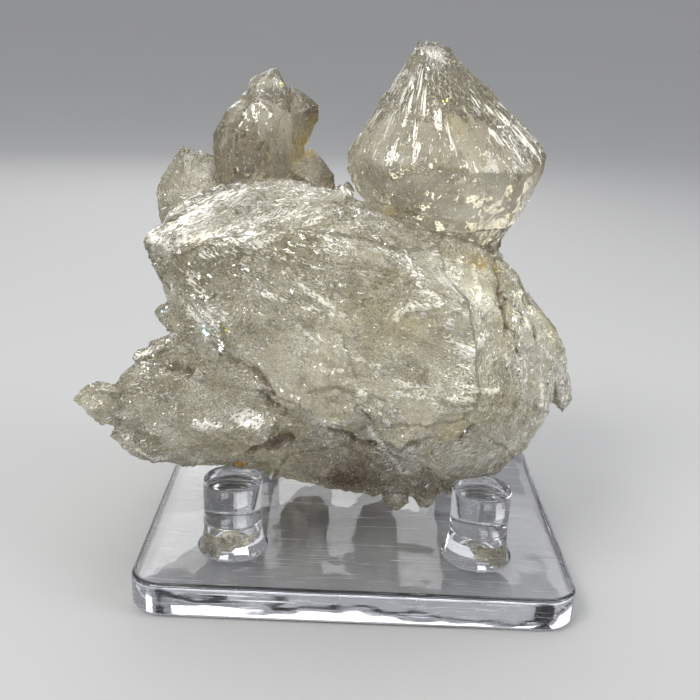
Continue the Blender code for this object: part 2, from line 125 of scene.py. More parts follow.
def triangles_of(obj):
    """The three corners of each triangle of obj."""
    flat = np.empty(len(obj.data.polygons) * 3, np.int64)
    obj.data.polygons.foreach_get("vertices", flat)
    return flat.reshape(-1, 3)


def add_shade(obj, name, values):
    """Keeps one number for each vertex, which a material can read by that name."""
    attribute = obj.data.attributes.new(name, "FLOAT", "POINT")
    attribute.data.foreach_set("value", values.astype(np.float32))


def add_vectors(obj, name, values):
    """Keeps three numbers for each vertex, which a material can read by that name."""
    attribute = obj.data.attributes.new(name, "FLOAT_VECTOR", "POINT")
    attribute.data.foreach_set("vector", values.astype(np.float32).ravel())


solid_points = points_of(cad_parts["quartz_cluster"])
print("the stone's size in mm:", (solid_points.max(axis=0) - solid_points.min(axis=0)).round(1))

# %% [markdown]
# ## A short way to write a material
# A material is a small tree of nodes. By hand one drops each node and draws its links. This class
# does the same with one short call for each node, so that a recipe can be read line by line.


# %% Helpers for materials
class Nodes:
    """A material with short ways to add and link its nodes."""

    def __init__(self, name):
        self.material = bpy.data.materials.new(name)
        self.material.use_nodes = True
        self.tree = self.material.node_tree
        self.shader = self.tree.nodes["Principled BSDF"]
        self.output = self.tree.nodes["Material Output"]

    def add(self, kind, settings=None, **inputs):
        """A new node. A socket's value is a number, a colour or another node's socket."""
        node = self.tree.nodes.new(kind)
        for name, value in (settings or {}).items():
            setattr(node, name, value)
        for name, value in inputs.items():
            self.put(node, name.replace("_", " "), value)
        return node

    def put(self, node, name, value):
        """Sets or links one socket, picked by its name or its number."""
        socket = node.inputs[int(name)] if name.isdigit() else node.inputs[name]
        if isinstance(value, bpy.types.NodeSocket):
            self.tree.links.new(value, socket)
        else:
            socket.default_value = value

    def set(self, name, value):
        """Sets or links one socket of the shader itself."""
        self.put(self.shader, name, value)

    def math(self, operation, first, second=0.0, clamp=False):
        node = self.tree.nodes.new("ShaderNodeMath")
        node.operation = operation
        node.use_clamp = clamp
        self.put(node, "0", first)
        self.put(node, "1", second)
        return node.outputs[0]

    def plus(self, first, second, clamp=False):
        return self.math("ADD", first, second, clamp)

    def minus(self, first, second, clamp=False):
        return self.math("SUBTRACT", first, second, clamp)

    def times(self, first, second, clamp=False):
        return self.math("MULTIPLY", first, second, clamp)

    def larger(self, first, second, clamp=False):
        return self.math("MAXIMUM", first, second, clamp)

    def less_by(self, share, value):
        """One, less a share of the value."""
        return self.minus(1.0, self.times(value, share))

    def vector(self, operation, first, second):
        node = self.tree.nodes.new("ShaderNodeVectorMath")
        node.operation = operation
        self.put(node, "0", first)
        self.put(node, "1", second)
        return node.outputs["Value" if operation == "DOT_PRODUCT" else "Vector"]

    def place(self):
        """Where a point is on the object itself, in millimetres."""
        coordinates = self.tree.nodes.new("ShaderNodeTexCoord")
        node = self.tree.nodes.new("ShaderNodeVectorMath")
        node.operation = "SCALE"
        self.put(node, "0", coordinates.outputs["Object"])
        node.inputs["Scale"].default_value = 1 / MM
        return node.outputs["Vector"]

    def shade(self, name):
        """A number kept on the mesh by add_shade."""
        return self.add("ShaderNodeAttribute", {"attribute_name": name}).outputs["Fac"]

    def kept(self, name):
        """Three numbers kept on the mesh by add_vectors."""
        return self.add("ShaderNodeAttribute", {"attribute_name": name}).outputs["Vector"]

    def stretch(self, place, turn, scale):
        """Turned and scaled coordinates, so that a pattern runs along one direction."""
        return self.add("ShaderNodeMapping", Vector=place, Rotation=turn, Scale=scale).outputs["Vector"]

    def noise(self, place, scale, detail, roughness):
        node = self.add("ShaderNodeTexNoise", Vector=place, Scale=scale, Detail=detail, Roughness=roughness)
        return node.outputs["Fac"]

    def ramp(self, value, low, high, to_low=0.0, to_high=1.0):
        """A soft step from low to high. It falls instead where low is the larger number."""
        node = self.add("ShaderNodeMapRange", {"interpolation_type": "SMOOTHSTEP"}, Value=value)
        self.put(node, "From Min", low)
        self.put(node, "From Max", high)
        node.inputs["To Min"].default_value = to_low
        node.inputs["To Max"].default_value = to_high
        return node.outputs["Result"]

    def near(self, value, middle, far_edge, near_edge):
        """One where a value is close to the middle, and nothing past the far edge."""
        return self.ramp(self.math("ABSOLUTE", self.minus(value, middle)), far_edge, near_edge)

    def mix(self, share, first, second):
        node = self.tree.nodes.new("ShaderNodeMix")
        node.data_type = "RGBA"
        self.put(node, "0", share)
        self.put(node, "6", first)
        self.put(node, "7", second)
        return node.outputs[2]

    def bump(self, height, distance, strength):
        node = self.add("ShaderNodeBump", Height=height, Distance=distance, Strength=strength)
        return node.outputs["Normal"]

    def absorb(self, colour, density):
        """Light is lost on its way through the piece, and takes on the colour."""
        node = self.add("ShaderNodeVolumeAbsorption", Color=colour, Density=density)
        self.tree.links.new(node.outputs["Volume"], self.output.inputs["Volume"])


print("ways to write a material:", [name for name in vars(Nodes) if not name.startswith("_")])

# %% [markdown]
# ## Steady noise
# A crystal face is broken into small flat areas, each tipped a little its own way. Cutting space in
# cells and giving each cell one slope makes exactly that. The numbers come from the cells' own
# places, so the stone looks the same each time the lesson is run.

# %% Numbers from places
# Large odd numbers that stir the bits of a cell's place until no pattern is left in them.
CELL_STIR = np.array([374761393, 668265263, 1442695041])
SEED_STIR = 974634777
FIRST_STIR = np.uint64(0x9E3779B97F4A7C15)
SECOND_STIR = np.uint64(0xBF58476D1CE4E5B9)
WHOLE_BITS = 53
SAMPLE_CELL = 3.0


def cell_numbers(cells, seed):
    """One steady number from 0 to 1 for each whole-number cell."""
    mixed = cells.astype(np.int64) @ CELL_STIR + seed * SEED_STIR
    mixed = mixed.astype(np.uint64)
    mixed ^= mixed >> np.uint64(13)
    mixed *= FIRST_STIR
    mixed ^= mixed >> np.uint64(29)
    mixed *= SECOND_STIR
    mixed ^= mixed >> np.uint64(32)
    return (mixed >> np.uint64(64 - WHOLE_BITS)).astype(float) / float(1 << WHOLE_BITS)


def cell_vectors(cells, seed):
    """Three steady numbers for each cell."""
    return np.stack([cell_numbers(cells, seed + step) for step in range(3)], axis=1)


def smooth_noise(points, seed):
    """Soft hills and dips from 0 to 1, one cell apart."""
    base = np.floor(points)
    share = points - base
    share = share * share * (3 - 2 * share)
    total = np.zeros(len(points))
    for corner in np.ndindex(2, 2, 2):
        weight = np.prod(np.where(corner, share, 1 - share), axis=1)
        total += weight * cell_numbers(base + corner, seed)
    return total


sample = smooth_noise(solid_points / SAMPLE_CELL, 1)
print("noise on the stone from", round(float(sample.min()), 2), "to", round(float(sample.max()), 2))

# %% [markdown]
# ## Slanted cells and a grain
# Each point takes the slope of the cell whose middle is nearest, which gives flat tipped facets
# with crisp edges between them. Measuring the places in cells that are long one way and narrow the
# others draws the facets out into steps along the crystal's grain.

# %% Facets along a grain
CELL_JITTER = 0.95
SLOPE_SEED = 7
LEVEL_SEED = 11
NEARLY_UPRIGHT = 0.9


def facets(points, seed):
    """The height of each point on its own cell's slope, and a random number of the cell."""
    base = np.floor(points)
    nearest = np.full(len(points), np.inf)
    centre = np.zeros_like(points)
    owner = np.zeros_like(points)
    for step in np.ndindex(3, 3, 3):
        cell = base + np.array(step) - 1
        middle = cell + 0.5 + CELL_JITTER * (cell_vectors(cell, seed) - 0.5)
        distance = ((points - middle) ** 2).sum(axis=1)
        closer = distance < nearest
        nearest[closer] = distance[closer]
        centre[closer] = middle[closer]
        owner[closer] = cell[closer]
    slope = cell_vectors(owner, seed + SLOPE_SEED) * 2 - 1
    return ((points - centre) * slope).sum(axis=1), cell_numbers(owner, seed + LEVEL_SEED)


def turned(points, axis, along, across):
    """Points measured in cells that are long along the axis and short across it."""
    axis = np.array(axis, float) / np.linalg.norm(axis)
    side = np.cross(axis, [0.0, 0.0, 1.0] if abs(axis[2]) < NEARLY_UPRIGHT else [1.0, 0.0, 0.0])
    side /= np.linalg.norm(side)
    basis = np.stack([side, np.cross(axis, side), axis], axis=1)
    return points @ basis / np.array([across, across, along])


slopes = facets(solid_points / SAMPLE_CELL, 1)[0]
print("slopes on the stone from", round(float(slopes.min()), 2), "to", round(float(slopes.max()), 2))

# %% [markdown]
# ## A finer skin for the stone
# The solid has flat facets some millimetres across. Its copy is divided until no edge is longer
# than about a millimetre, which leaves the facets and their crisp edges where they are and gives
# the next step enough points to work with. A subdivision modifier would round the edges off, so
# only the long edges are divided, in four rounds.

# %% Copy and divide the stone
EDGE_LIMITS = (6.0, 3.0, 1.5, 1.1)
MERGE_DISTANCE = 0.00001

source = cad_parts["quartz_cluster"]
quartz = bpy.data.objects.new("quartz_skin", source.data.copy())
bpy.context.scene.collection.objects.link(quartz)
quartz.data.materials.clear()
pick_only(quartz)
bpy.ops.object.mode_set(mode="EDIT")
bpy.ops.mesh.select_mode(type="VERT")
bpy.ops.mesh.select_all(action="SELECT")
bpy.ops.mesh.remove_doubles(threshold=MERGE_DISTANCE)
bpy.ops.mesh.select_mode(type="EDGE")
for limit in EDGE_LIMITS:
    bpy.ops.mesh.select_all(action="DESELECT")
    editing = bmesh.from_edit_mesh(quartz.data)
    for edge in editing.edges:
        edge.select_set(edge.calc_length() > limit * MM)
    bmesh.update_edit_mesh(quartz.data)
    bpy.ops.mesh.subdivide(number_cuts=1, ngon=False, quadcorner="STRAIGHT_CUT")
    bpy.ops.mesh.select_all(action="SELECT")
    bpy.ops.mesh.quads_convert_to_tris(quad_method="SHORTEST_DIAGONAL", ngon_method="BEAUTY")
bpy.ops.object.mode_set(mode="OBJECT")
print("skin:", len(quartz.data.vertices), "points,", len(quartz.data.polygons), "triangles")

# %% [markdown]
# ## Zones with a grain of their own
# Each crystal of the cluster has its own grain. The steps run along it: up the long bevel of the
# large crystal, down the right one, and together towards the apex of the diamond-shaped one. Every
# zone below is a line with a reach, and near it the skin follows that zone's grain. Along and
# across are the size of its steps in millimetres, and deep is how strongly they are cut.

# %% Zones of the stone
ZONES = {
    "bevel": dict(
        line=((-42, -14, 78), (0, -16, 82)), reach=11,
        grain=(0.86, 0.40, 0.32), along=9.0, across=1.5, deep=1.0,
    ),
    "front": dict(
        line=((-28, -30, 62), (12, -34, 60)), reach=18,
        grain=(-0.94, -0.1, 0.33), along=8.0, across=2.4, deep=0.62,
    ),
    "right": dict(
        line=((24, -27, 62), (36, -17, 36)), reach=15,
        grain=(0.25, -0.1, 0.96), along=7.0, across=1.9, deep=0.8,
    ),
    "low_right": dict(
        line=((12, -30, 36), (30, -20, 28)), reach=12,
        grain=(0.8, 0.1, 0.6), along=4.5, across=1.9, deep=0.8,
    ),
    "arm": dict(
        line=((-54, -12, 37), (-20, -28, 38)), reach=15,
        grain=(-0.9, -0.1, -0.42), along=4.5, across=2.3, deep=0.85,
    ),
    "under": dict(
        line=((-12, -22, 26), (16, -20, 22)), reach=11,
        grain=(0.3, -0.4, 0.86), along=3.5, across=2.0, deep=1.0,
    ),
    "diamond": dict(
        line=((12, 4, 106), (16, 2, 84)), reach=20,
        grain=(0.0, 0.0, 1.0), along=9.0, across=2.2, deep=0.5,
    ),
    "egg": dict(
        line=((-23, 13, 104), (-25, 13, 84)), reach=11,
        grain=(-0.05, 0.1, 1.0), along=7.0, across=3.4, deep=0.4,
    ),
    "pale": dict(
        line=((-43, 8, 86), (-40, 8, 72)), reach=9,
        grain=(0.5, 0.0, 0.86), along=4.0, across=1.8, deep=0.8,
    ),
    "back": dict(
        line=((-26, 26, 48), (28, 22, 48)), reach=22,
        grain=(-0.5, 0.2, 0.84), along=5.5, across=2.5, deep=0.9,
    ),
}
DIAMOND_FOOT = 77.0
DIAMOND_BLEND = 3.0
LEAST_WEIGHT = 1e-9
LEAST_BLEND = 1e-6


def distance_to_line(points, ends):
    """How far each point is from the straight line between two ends."""
    first, second = (np.array(end, float) for end in ends)
    run = second - first
    share = np.clip((points - first) @ run / (run @ run), 0, 1)
    return np.linalg.norm(points - first - share[:, None] * run, axis=1)


def zone_weight(points, zone):
    """One on the zone's line, falling off with its reach."""
    return np.exp(-2 * (distance_to_line(points, zone["line"]) / zone["reach"]) ** 2) + LEAST_WEIGHT


skin = points_of(quartz)
weights = {name: zone_weight(skin, zone) for name, zone in ZONES.items()}
weights["diamond"] *= np.clip((skin[:, 2] - DIAMOND_FOOT) / DIAMOND_BLEND, LEAST_BLEND, 1)
sharpened = {name: weight**2 for name, weight in weights.items()}
total_weight = sum(sharpened.values())
shares = {name: weight / total_weight for name, weight in sharpened.items()}
print("points in each zone:", {name: int((share > 0.5).sum()) for name, share in shares.items()})

# %% [markdown]
# ## How deep the skin is etched
# The steps of an elestial crystal are left where a layer of growth stopped short, or where the
# crystal was dissolved again. Large slanted cells give the broad steps and small ones the fine
# steps on them. On the diamond-shaped crystal the bands fan out from the apex, so its places are
# measured from there. Displacing the points, and not only shading them, gives the outline steps.

# %% Work out the steps
APEX = np.array([11.0, 4.0, 116.0])
RAY_SPREAD = 26.0
RAY_STRETCH = 2.5
LARGE_STEPS, SMALL_STEPS = 2.6, 1.0
LARGE_SEED, SMALL_SEED = 100, 200
LARGE_LEVEL, LARGE_SLOPE = 0.9, 0.9
SMALL_LEVEL, SMALL_SLOPE = 0.45, 0.55
LEAST_SHARE = 0.01
FINE_DEPTH, FINE_SIZE, FINE_SEED = 0.12, 0.8, 31
MEAN_ETCH = 0.7
MOST_PROUD = 0.5
MOST_DEEP = 1.7


def apex_rays(points):
    """Coordinates that fan out from the apex, so that the diamond's bands converge on it."""
    away = points - APEX
    far = np.linalg.norm(away, axis=1)
    return np.stack([away[:, 0] / far * RAY_SPREAD, away[:, 1] / far * RAY_SPREAD, far / RAY_STRETCH], axis=1)


def grain_of(points, name, zone, size):
    """The places of the points in the zone's own cells, size times as large as the zone says."""
    if name == "diamond":
        return apex_rays(points) / (zone["across"] * size)
    return turned(points, zone["grain"], zone["along"] * size, zone["across"] * size)


def stepped(points):
    """How deep the skin is etched at each point, in millimetres."""
    depth = np.zeros(len(points))
    for number, (name, zone) in enumerate(ZONES.items()):
        share = shares[name]
        near = share > LEAST_SHARE
        local = points[near]
        large_slope, large_level = facets(grain_of(local, name, zone, LARGE_STEPS), LARGE_SEED + number)
        small_slope, small_level = facets(grain_of(local, name, zone, SMALL_STEPS), SMALL_SEED + number)
        fall = LARGE_LEVEL * large_level + LARGE_SLOPE * large_slope
        fall = fall + SMALL_LEVEL * small_level + SMALL_SLOPE * small_slope
        depth[near] += share[near] * zone["deep"] * fall
    return depth


def etch(points, outward, depths):
    """The points moved inward by their depths, within what the solid allows."""
    return points - outward * np.clip(depths, -MOST_PROUD, MOST_DEEP)[:, None]


normals = np.empty(len(skin) * 3)
quartz.data.vertices.foreach_get("normal", normals)
normals = normals.reshape(-1, 3)
etched = stepped(skin)
etched += FINE_DEPTH * smooth_noise(skin / FINE_SIZE, FINE_SEED)
etched -= MEAN_ETCH * etched.mean()
skin_tree = BVHTree.FromPolygons(etch(skin, normals, etched).tolist(), triangles_of(quartz).tolist())
print("etched depth in mm:", round(float(etched.min()), 2), "to", round(float(etched.max()), 2))

# %% [markdown]
# ## The ledges one can name
# Some ledges, bands and cracks are what one remembers of this stone: the wavy ledge under the
# bevel, the groove down the right side, the bright bands of the diamond-shaped crystal. Each is
# a path over the skin with a width, a height and how white it is; whiteness gathers the white
# strokes, partly painted highlights, along the path. A negative height is a crack, and a negative
# whiteness is dark, painted shade in the crack.
# The paths are traced as places in the camera's picture, 700 across and 700 down, and a
# straight line from the camera through each place finds it on the skin.

# %% Paths on the stone
PATHS = {
    "ledge under the bevel": (
        [(150, 240), (170, 243), (210, 236), (235, 243), (280, 228), (330, 205)], 0.9, 0.45, 0.9,
    ),
    "upper wave of the bevel": (
        [(202, 257), (233, 250), (259, 243), (315, 222), (345, 218), (380, 245)], 0.8, 0.4, 0.8,
    ),
    "top edge of the bevel": ([(185, 222), (215, 205), (250, 190), (285, 190), (360, 205)], 0.8, 0.3, 0.6),
    "wisp beside the bevel": ([(283, 273), (307, 288), (330, 307), (352, 323)], 0.45, 0.0, 0.8),
    "wisp below it": ([(262, 300), (290, 322), (320, 345)], 0.4, 0.0, 0.6),
    "shoulder step": ([(397, 213), (398, 222), (397, 236), (398, 245)], 0.5, -0.5, 0.2),
    "shoulder ridge": ([(398, 245), (410, 270), (422, 288), (436, 298)], 0.7, 0.45, 0.8),
    "curved ledge of the shoulder": ([(395, 320), (402, 313), (412, 308), (440, 306)], 0.7, 0.5, 1.0),
    "groove of the right side": (
        [(496, 257), (499, 275), (500, 292), (504, 312), (505, 335)], 0.9, -1.1, -1.2,
    ),
    "bright strip beside the groove": ([(512, 297), (515, 318), (510, 340)], 1.5, 0.5, 1.2),
    "edge of the slab": ([(524, 299), (524, 320), (519, 350)], 0.8, -0.8, -1.1),
    "lower rim of the lobe": ([(303, 405), (315, 418), (335, 424), (352, 415), (362, 395)], 1.1, 0.7, 1.2),
    "ridge below the lobe": ([(360, 415), (380, 440), (400, 465), (420, 482)], 0.8, 0.5, 0.8),
    "crest of the arm": ([(197, 424), (212, 429), (228, 427)], 0.9, 0.7, 1.2),
    "crack under the arm": ([(250, 455), (270, 448), (290, 440)], 1.1, -1.2, -1.3),
    "crack left of the lobe": ([(266, 398), (276, 406), (285, 417)], 1.1, -1.2, -1.3),
    "crack low on the right": ([(458, 442), (467, 433), (476, 424)], 0.6, -0.5, -1.2),
    "groove of the arm": ([(168, 363), (178, 368), (188, 373)], 1.2, -1.2, -1.3),
    "ledge of the arm": ([(136, 359), (147, 352), (163, 347)], 0.8, 0.3, 0.8),
    "long line of the arm": ([(183, 345), (215, 352), (245, 368), (268, 390)], 0.6, -0.4, 0.3),
    "low edge of the arm": ([(140, 452), (165, 458), (200, 460)], 0.9, 0.2, 0.8),
    "first band": ([(421, 62), (405, 95), (388, 130), (370, 163)], 0.55, 0.3, 0.9),
    "second band": ([(425, 72), (412, 105), (398, 140), (385, 168)], 0.75, 0.4, 1.0),
    "third band": ([(429, 88), (421, 115), (409, 145), (397, 170)], 0.7, 0.4, 1.0),
    "fourth band": ([(436, 108), (447, 130), (458, 152), (463, 163)], 0.55, 0.3, 0.8),
    "fifth band": ([(446, 120), (455, 140), (466, 165), (484, 180)], 0.5, 0.3, 0.8),
    "right ledge of the diamond": ([(470, 95), (500, 118), (525, 140), (538, 158)], 1.0, 0.3, 0.9),
    "second right ledge": ([(468, 112), (495, 132), (520, 155), (530, 172)], 0.8, -0.5, 0.7),
    "rim of the apex": ([(423, 46), (436, 51), (446, 60)], 1.4, 0.0, 0.9),
    "streak of the foot": ([(520, 214), (505, 232), (492, 248)], 1.0, -0.4, -1.2),
    "slope of the left tip": ([(165, 280), (182, 298), (198, 321)], 0.9, 0.2, 0.6),
    "first stroke of the front": ([(290, 253), (306, 260), (322, 267)], 0.5, 0.1, 0.9),
    "second stroke of the front": ([(311, 296), (330, 306), (347, 314)], 0.5, 0.1, 0.9),
    "third stroke of the front": ([(259, 294), (295, 304), (330, 315)], 0.45, 0.1, 0.8),
    "fourth stroke of the front": ([(273, 251), (300, 270), (323, 287)], 0.45, 0.1, 0.8),
    "stroke of the left tip": ([(177, 266), (190, 279), (202, 290)], 0.6, 0.2, 0.9),
    "curve of the white patch": ([(445, 325), (452, 345), (470, 352), (480, 340)], 1.0, 0.4, 1.2),
    "first low streak": ([(392, 380), (416, 386), (440, 392)], 0.6, 0.3, 1.1),
    "second low streak": ([(400, 395), (435, 398), (470, 402)], 0.6, 0.3, 1.1),
    "third low streak": ([(430, 405), (470, 409), (515, 412)], 0.7, 0.4, 1.1),
    "fourth low streak": ([(440, 385), (470, 389), (500, 392)], 0.5, 0.3, 1.0),
    "line in the groove": ([(503, 289), (505, 317), (512, 340)], 0.6, -0.3, -1.0),
    "yellow edge": ([(523, 294), (521, 317), (539, 342), (551, 360)], 0.6, 0.3, 0.9),
    "upright on the right": ([(524, 360), (526, 385), (522, 410), (512, 425)], 0.6, 0.2, 1.0),
    "second upright on the right": ([(540, 365), (542, 390), (536, 412)], 0.6, 0.2, 1.0),
    "ridge over the arm": ([(213, 347), (236, 361), (259, 376), (273, 395)], 0.8, -0.7, -0.9),
    "bright triangle of the arm": ([(234, 418), (262, 415), (262, 427), (240, 420)], 0.9, 0.2, 1.3),
    "upright of the shoulder": ([(460, 255), (458, 275), (455, 300)], 0.45, 0.1, 0.9),
    "second upright of the shoulder": ([(475, 265), (478, 290), (478, 320)], 0.5, 0.1, 1.0),
    "band over the lobe": ([(330, 345), (352, 360), (380, 368)], 0.5, 0.2, 0.8),
    "top of the lobe": ([(310, 393), (335, 388), (356, 392)], 0.6, -0.4, -0.8),
    "dark foot of the front": ([(330, 430), (365, 446), (395, 450), (430, 440)], 1.1, -0.8, -1.1),
    "dark edge of the left tip": ([(150, 250), (157, 268), (170, 290)], 0.6, 0.0, -0.9),
}
PICTURE_MIDDLE = 350
FOCAL_LENGTH = CAMERA_LENS / CAMERA_SENSOR * 2 * PICTURE_MIDDLE


def seen_at(across, down):
    """The place on the etched skin, in millimetres, that the camera sees at a place in its picture."""
    right = (across - PICTURE_MIDDLE) / FOCAL_LENGTH
    up = (PICTURE_MIDDLE - down) / FOCAL_LENGTH
    way = (CAMERA_RIGHT * right + CAMERA_UP * up - CAMERA_BACK).normalized()
    return np.array(skin_tree.ray_cast(CAMERA_PLACE / MM, way)[0])


traced = {name: [seen_at(*place) for place in row[0]] for name, row in PATHS.items()}
print(len(traced), "paths, the first of them starts at", traced["ledge under the bevel"][0].round(1), "mm")

# %% [markdown]
# ## Work the steps and ledges into the skin
# The paths are made to waver a little, because nothing on a grown crystal is ruled. Then every
# point moves in by its etched depth and out by what the paths lift it. The facets are flat, so
# only edges that bend less than the given angle are shaded smooth.

# %% Displace the skin
PATH_WAVE = 0.7
WANDER_SIZE, WANDER_SEED = 3.0, 71
BREAK_SIZE, BREAK_SEED = 1.6, 75
REACH_LEAST, REACH_MORE = 0.6, 0.9
PATH_LIFT = 1.4
SMOOTH_BELOW = 24


def near_paths(points, broken):
    """How high the paths lift the skin at each point, and how white or dark they make it."""
    lift = np.zeros(len(points))
    white = np.zeros(len(points))
    dark = np.zeros(len(points))
    for name, (_, width, height, tone) in PATHS.items():
        path = traced[name]
        away = np.min([distance_to_line(points, ends) for ends in zip(path, path[1:])], axis=0)
        reach = width * (REACH_LEAST + REACH_MORE * broken)
        mark = np.exp(-((away / reach) ** 2))
        lift += PATH_LIFT * height * mark
        white = np.maximum(white, tone * mark)
        dark = np.maximum(dark, -tone * mark)
    return lift, white, dark


wander = np.stack([smooth_noise(skin / WANDER_SIZE, WANDER_SEED + step) for step in range(3)], axis=1) - 0.5
path_break = smooth_noise(skin / BREAK_SIZE, BREAK_SEED)
lift, path_white, path_dark = near_paths(skin + wander * 2 * PATH_WAVE, path_break)
set_points(quartz, etch(skin, normals, etched - lift))
pick_only(quartz)
bpy.ops.object.shade_smooth_by_angle(angle=math.radians(SMOOTH_BELOW))
print("the paths lift the skin from", round(float(lift.min()), 2), "to", round(float(lift.max()), 2), "mm")

# %% [markdown]
# ## Where the stone is smoky, milky and stained
# Clear quartz shades into smoky brown below and inside the egg-shaped crystal. Iron has left ochre
# in the joints between crystals and yellow on the right shoulder. Each mark is a soft spot with a
# middle, a reach and a strength, broken up with noise. The darkest spots are painted shade in a deep
# brown, on the underside and in a few hollows; cloudy ones let less light pass, and warm ones have a
# straw-yellow tint.

# %% Soft spots
# Each kind has a seed and a grain for its noise, and then its spots.
SPOTS = {
    "smoky": (41, 6.0, [
        ((-25, 6, 90), 16, 1.1), ((-14, 14, 98), 8, 1.0), ((-9, 12, 85), 8, 1.0), ((0, -24, 26), 16, 0.8),
        ((14, 2, 98), 24, 0.6), ((27, 0, 94), 15, 0.9), ((-20, 8, 100), 9, 0.8), ((-43, 8, 80), 10, 0.35),
        ((-10, -30, 38), 9, 0.4), ((8, -29, 38), 7, 0.6), ((29, 4, 70), 5, 0.9), ((-40, -16, 34), 14, 0.35),
        ((20, -22, 22), 9, 0.5), ((-25, -27, 52), 9, 0.25), ((26, -2, 84), 13, 0.75),
    ]),
    "milky": (51, 4.0, [
        ((34, -16, 58), 18, 1.2), ((20, -26, 68), 15, 1.1), ((34, -12, 44), 12, 1.0),
        ((-8, -33, 54), 16, 0.8), ((12, -34, 48), 14, 0.9), ((-60, -12, 36), 6, 0.9),
        ((-18, -8, 84), 18, 0.45), ((-36, -16, 78), 10, 0.5), ((28, -18, 56), 9, 0.7),
        ((-6, -34, 45), 5, 0.8), ((14, -32, 58), 12, 0.3), ((36, -12, 42), 8, 0.6), ((20, -30, 40), 8, 0.5),
        ((-45, -15, 42), 10, 0.3),
    ]),
    "stained": (61, 2.2, [
        ((-15, 13, 91), 4.5, 1.0), ((-18, 12, 86), 4.5, 1.0), ((-14.5, 14, 95), 3, 0.8),
        ((22, -12, 71), 4, 0.9), ((27, -8, 70), 3, 0.8), ((7, -34, 64), 4, 0.45), ((12, 0, 104), 3.2, 0.7),
        ((16, -5, 98), 3, 0.6), ((36, -1, 88), 4, 0.6), ((41, -4, 57), 6, 0.5), ((4, -6, 80), 2.5, 0.7),
        ((-33, -22, 77.5), 4, 0.4), ((-49, -14, 42), 2.5, 0.5), ((18, -30, 42), 5, 0.35),
        ((28, 2, 72), 3, 0.7),
    ]),
    "cloudy": (63, 4.0, [
        ((14, 2, 84), 15, 1.0), ((24, -4, 82), 12, 2.0), ((22, -24, 68), 14, 0.8), ((36, -12, 52), 14, 0.8),
        ((-23, 8, 92), 12, 0.35), ((10, 0, 98), 10, 0.3), ((-6, -33, 54), 14, 0.5),
        ((14, -33, 48), 12, 0.6), ((-42, 6, 80), 9, 0.6),
    ]),
    # Painted shade: deep brown spots, most of them on the underside.
    "dusky": (65, 3.0, [
        ((14, -20, 21), 11, 0.8), ((22, -26, 31), 3, 0.8), ((30, -20, 37), 3, 0.7), ((16, -29, 33), 3, 0.8),
        ((-16, -30, 49), 3, 0.6), ((-40, -14, 26), 8, 0.45), ((30, -16, 26), 8, 0.6),
        ((20, -28, 37), 4, 0.7), ((0, -22, 24), 17, 1.0), ((-8, -26, 32), 9, 0.7), ((6, -28, 36), 7, 0.9),
        ((18, -16, 20), 8, 0.6), ((-26, -20, 27), 9, 0.6), ((-16, -28, 38), 5, 0.5),
        ((12, -20, 26), 8, 0.7), ((0, 6, 20), 26, 0.7), ((30, 5, 70), 4, 0.8), ((-9, 12, 85), 6, 0.5),
    ]),
    "warm": (67, 5.0, [
        ((26, -20, 66), 18, 0.8), ((20, -32, 50), 16, 0.7), ((40, -6, 56), 10, 0.9),
        ((34, -14, 42), 12, 0.4), ((-10, -24, 80), 16, 0.35), ((18, -6, 96), 14, 0.5),
        ((-60, -12, 36), 6, 0.8), ((2, -33, 62), 18, 0.5), ((-6, -34, 46), 7, 0.4),
    ]),
}
SPOT_EDGE = 1.35
SPOT_BREAK, SPOT_BREAK_MIDDLE = 0.7, 0.2
COARSE_PART, FINE_PART = 0.6, 0.4
FINE_BREAK = 0.4


def two_noises(points, coarse, fine, seed):
    """Coarse noise with finer noise in it."""
    coarse_noise = smooth_noise(points / coarse, seed)
    return coarse_noise * COARSE_PART + smooth_noise(points / fine, seed + 1) * FINE_PART


def spots(points, marks, seed, grain):
    """The strongest of the soft spots at each point, with broken edges."""
    strongest = np.zeros(len(points))
    broken = two_noises(points, grain, grain * FINE_BREAK, seed)
    for middle, reach, strength in marks:
        away = np.linalg.norm(points - np.array(middle, float), axis=1) / reach
        inside = np.clip(SPOT_EDGE - away - SPOT_BREAK * (broken - SPOT_BREAK_MIDDLE), 0, 1)
        strongest = np.maximum(strongest, strength * inside)
    return strongest


for name, (seed, grain, marks) in SPOTS.items():
    shade = spots(skin, marks, seed, grain)
    add_shade(quartz, name, shade)
    print(name, "on", int((shade > 0.2).sum()), "points")

# %% [markdown]
# ## Where the white strokes gather
# The edges of the fine steps throw the light back and look like white strokes of a brush, so the
# strokes are partly painted highlights and partly milky quartz. They are dense on the bevel and the
# right crystal and few on the smoky ones. This cell says how dense they are at each point, how glassy
# the skin is, and where it lies deep.

# %% Density of the strokes
DENSITIES = {
    "bevel": 0.7, "front": 0.6, "right": 1.1, "low_right": 1.0, "arm": 0.6,
    "under": 0.35, "diamond": 0.3, "egg": 0.04, "pale": 0.4, "back": 0.45,
}
BRIGHT = [
    ((4, -32, 48), 9, 0.7), ((26, -24, 34), 12, 1.0), ((14, -26, 34), 7, 0.7), ((-2, -34, 60), 9, 0.5),
    ((36, -12, 56), 10, 0.9), ((-56, -12, 36), 6, 0.6), ((-36, -20, 36), 8, 0.6), ((-30, -28, 60), 8, 1.0),
    ((-24, -30, 42), 6, 1.0), ((30, -20, 62), 5, 0.9), ((18, -36, 53), 9, 0.9), ((-31, -28, 40), 5, 0.8),
    ((-8, -31, 43), 6, 0.7), ((22, -28, 38), 10, 0.8), ((-24, -28, 54), 9, 0.7), ((8, -34, 66), 6, 0.6),
    ((-22, -30, 70), 9, 0.7), ((-46, -14, 46), 7, 0.8), ((6, -31, 42), 6, 0.6), ((38, -8, 48), 7, 0.8),
    ((-44, -16, 28), 7, 0.7), ((12, -26, 72), 8, 0.5), ((-21, 12, 104), 2.5, 0.9), ((30, 0, 96), 8, 0.7),
    ((12, 2, 111), 4, 0.9), ((8, -18, 20), 6, 0.5), ((-10, -22, 24), 6, 0.4),
]
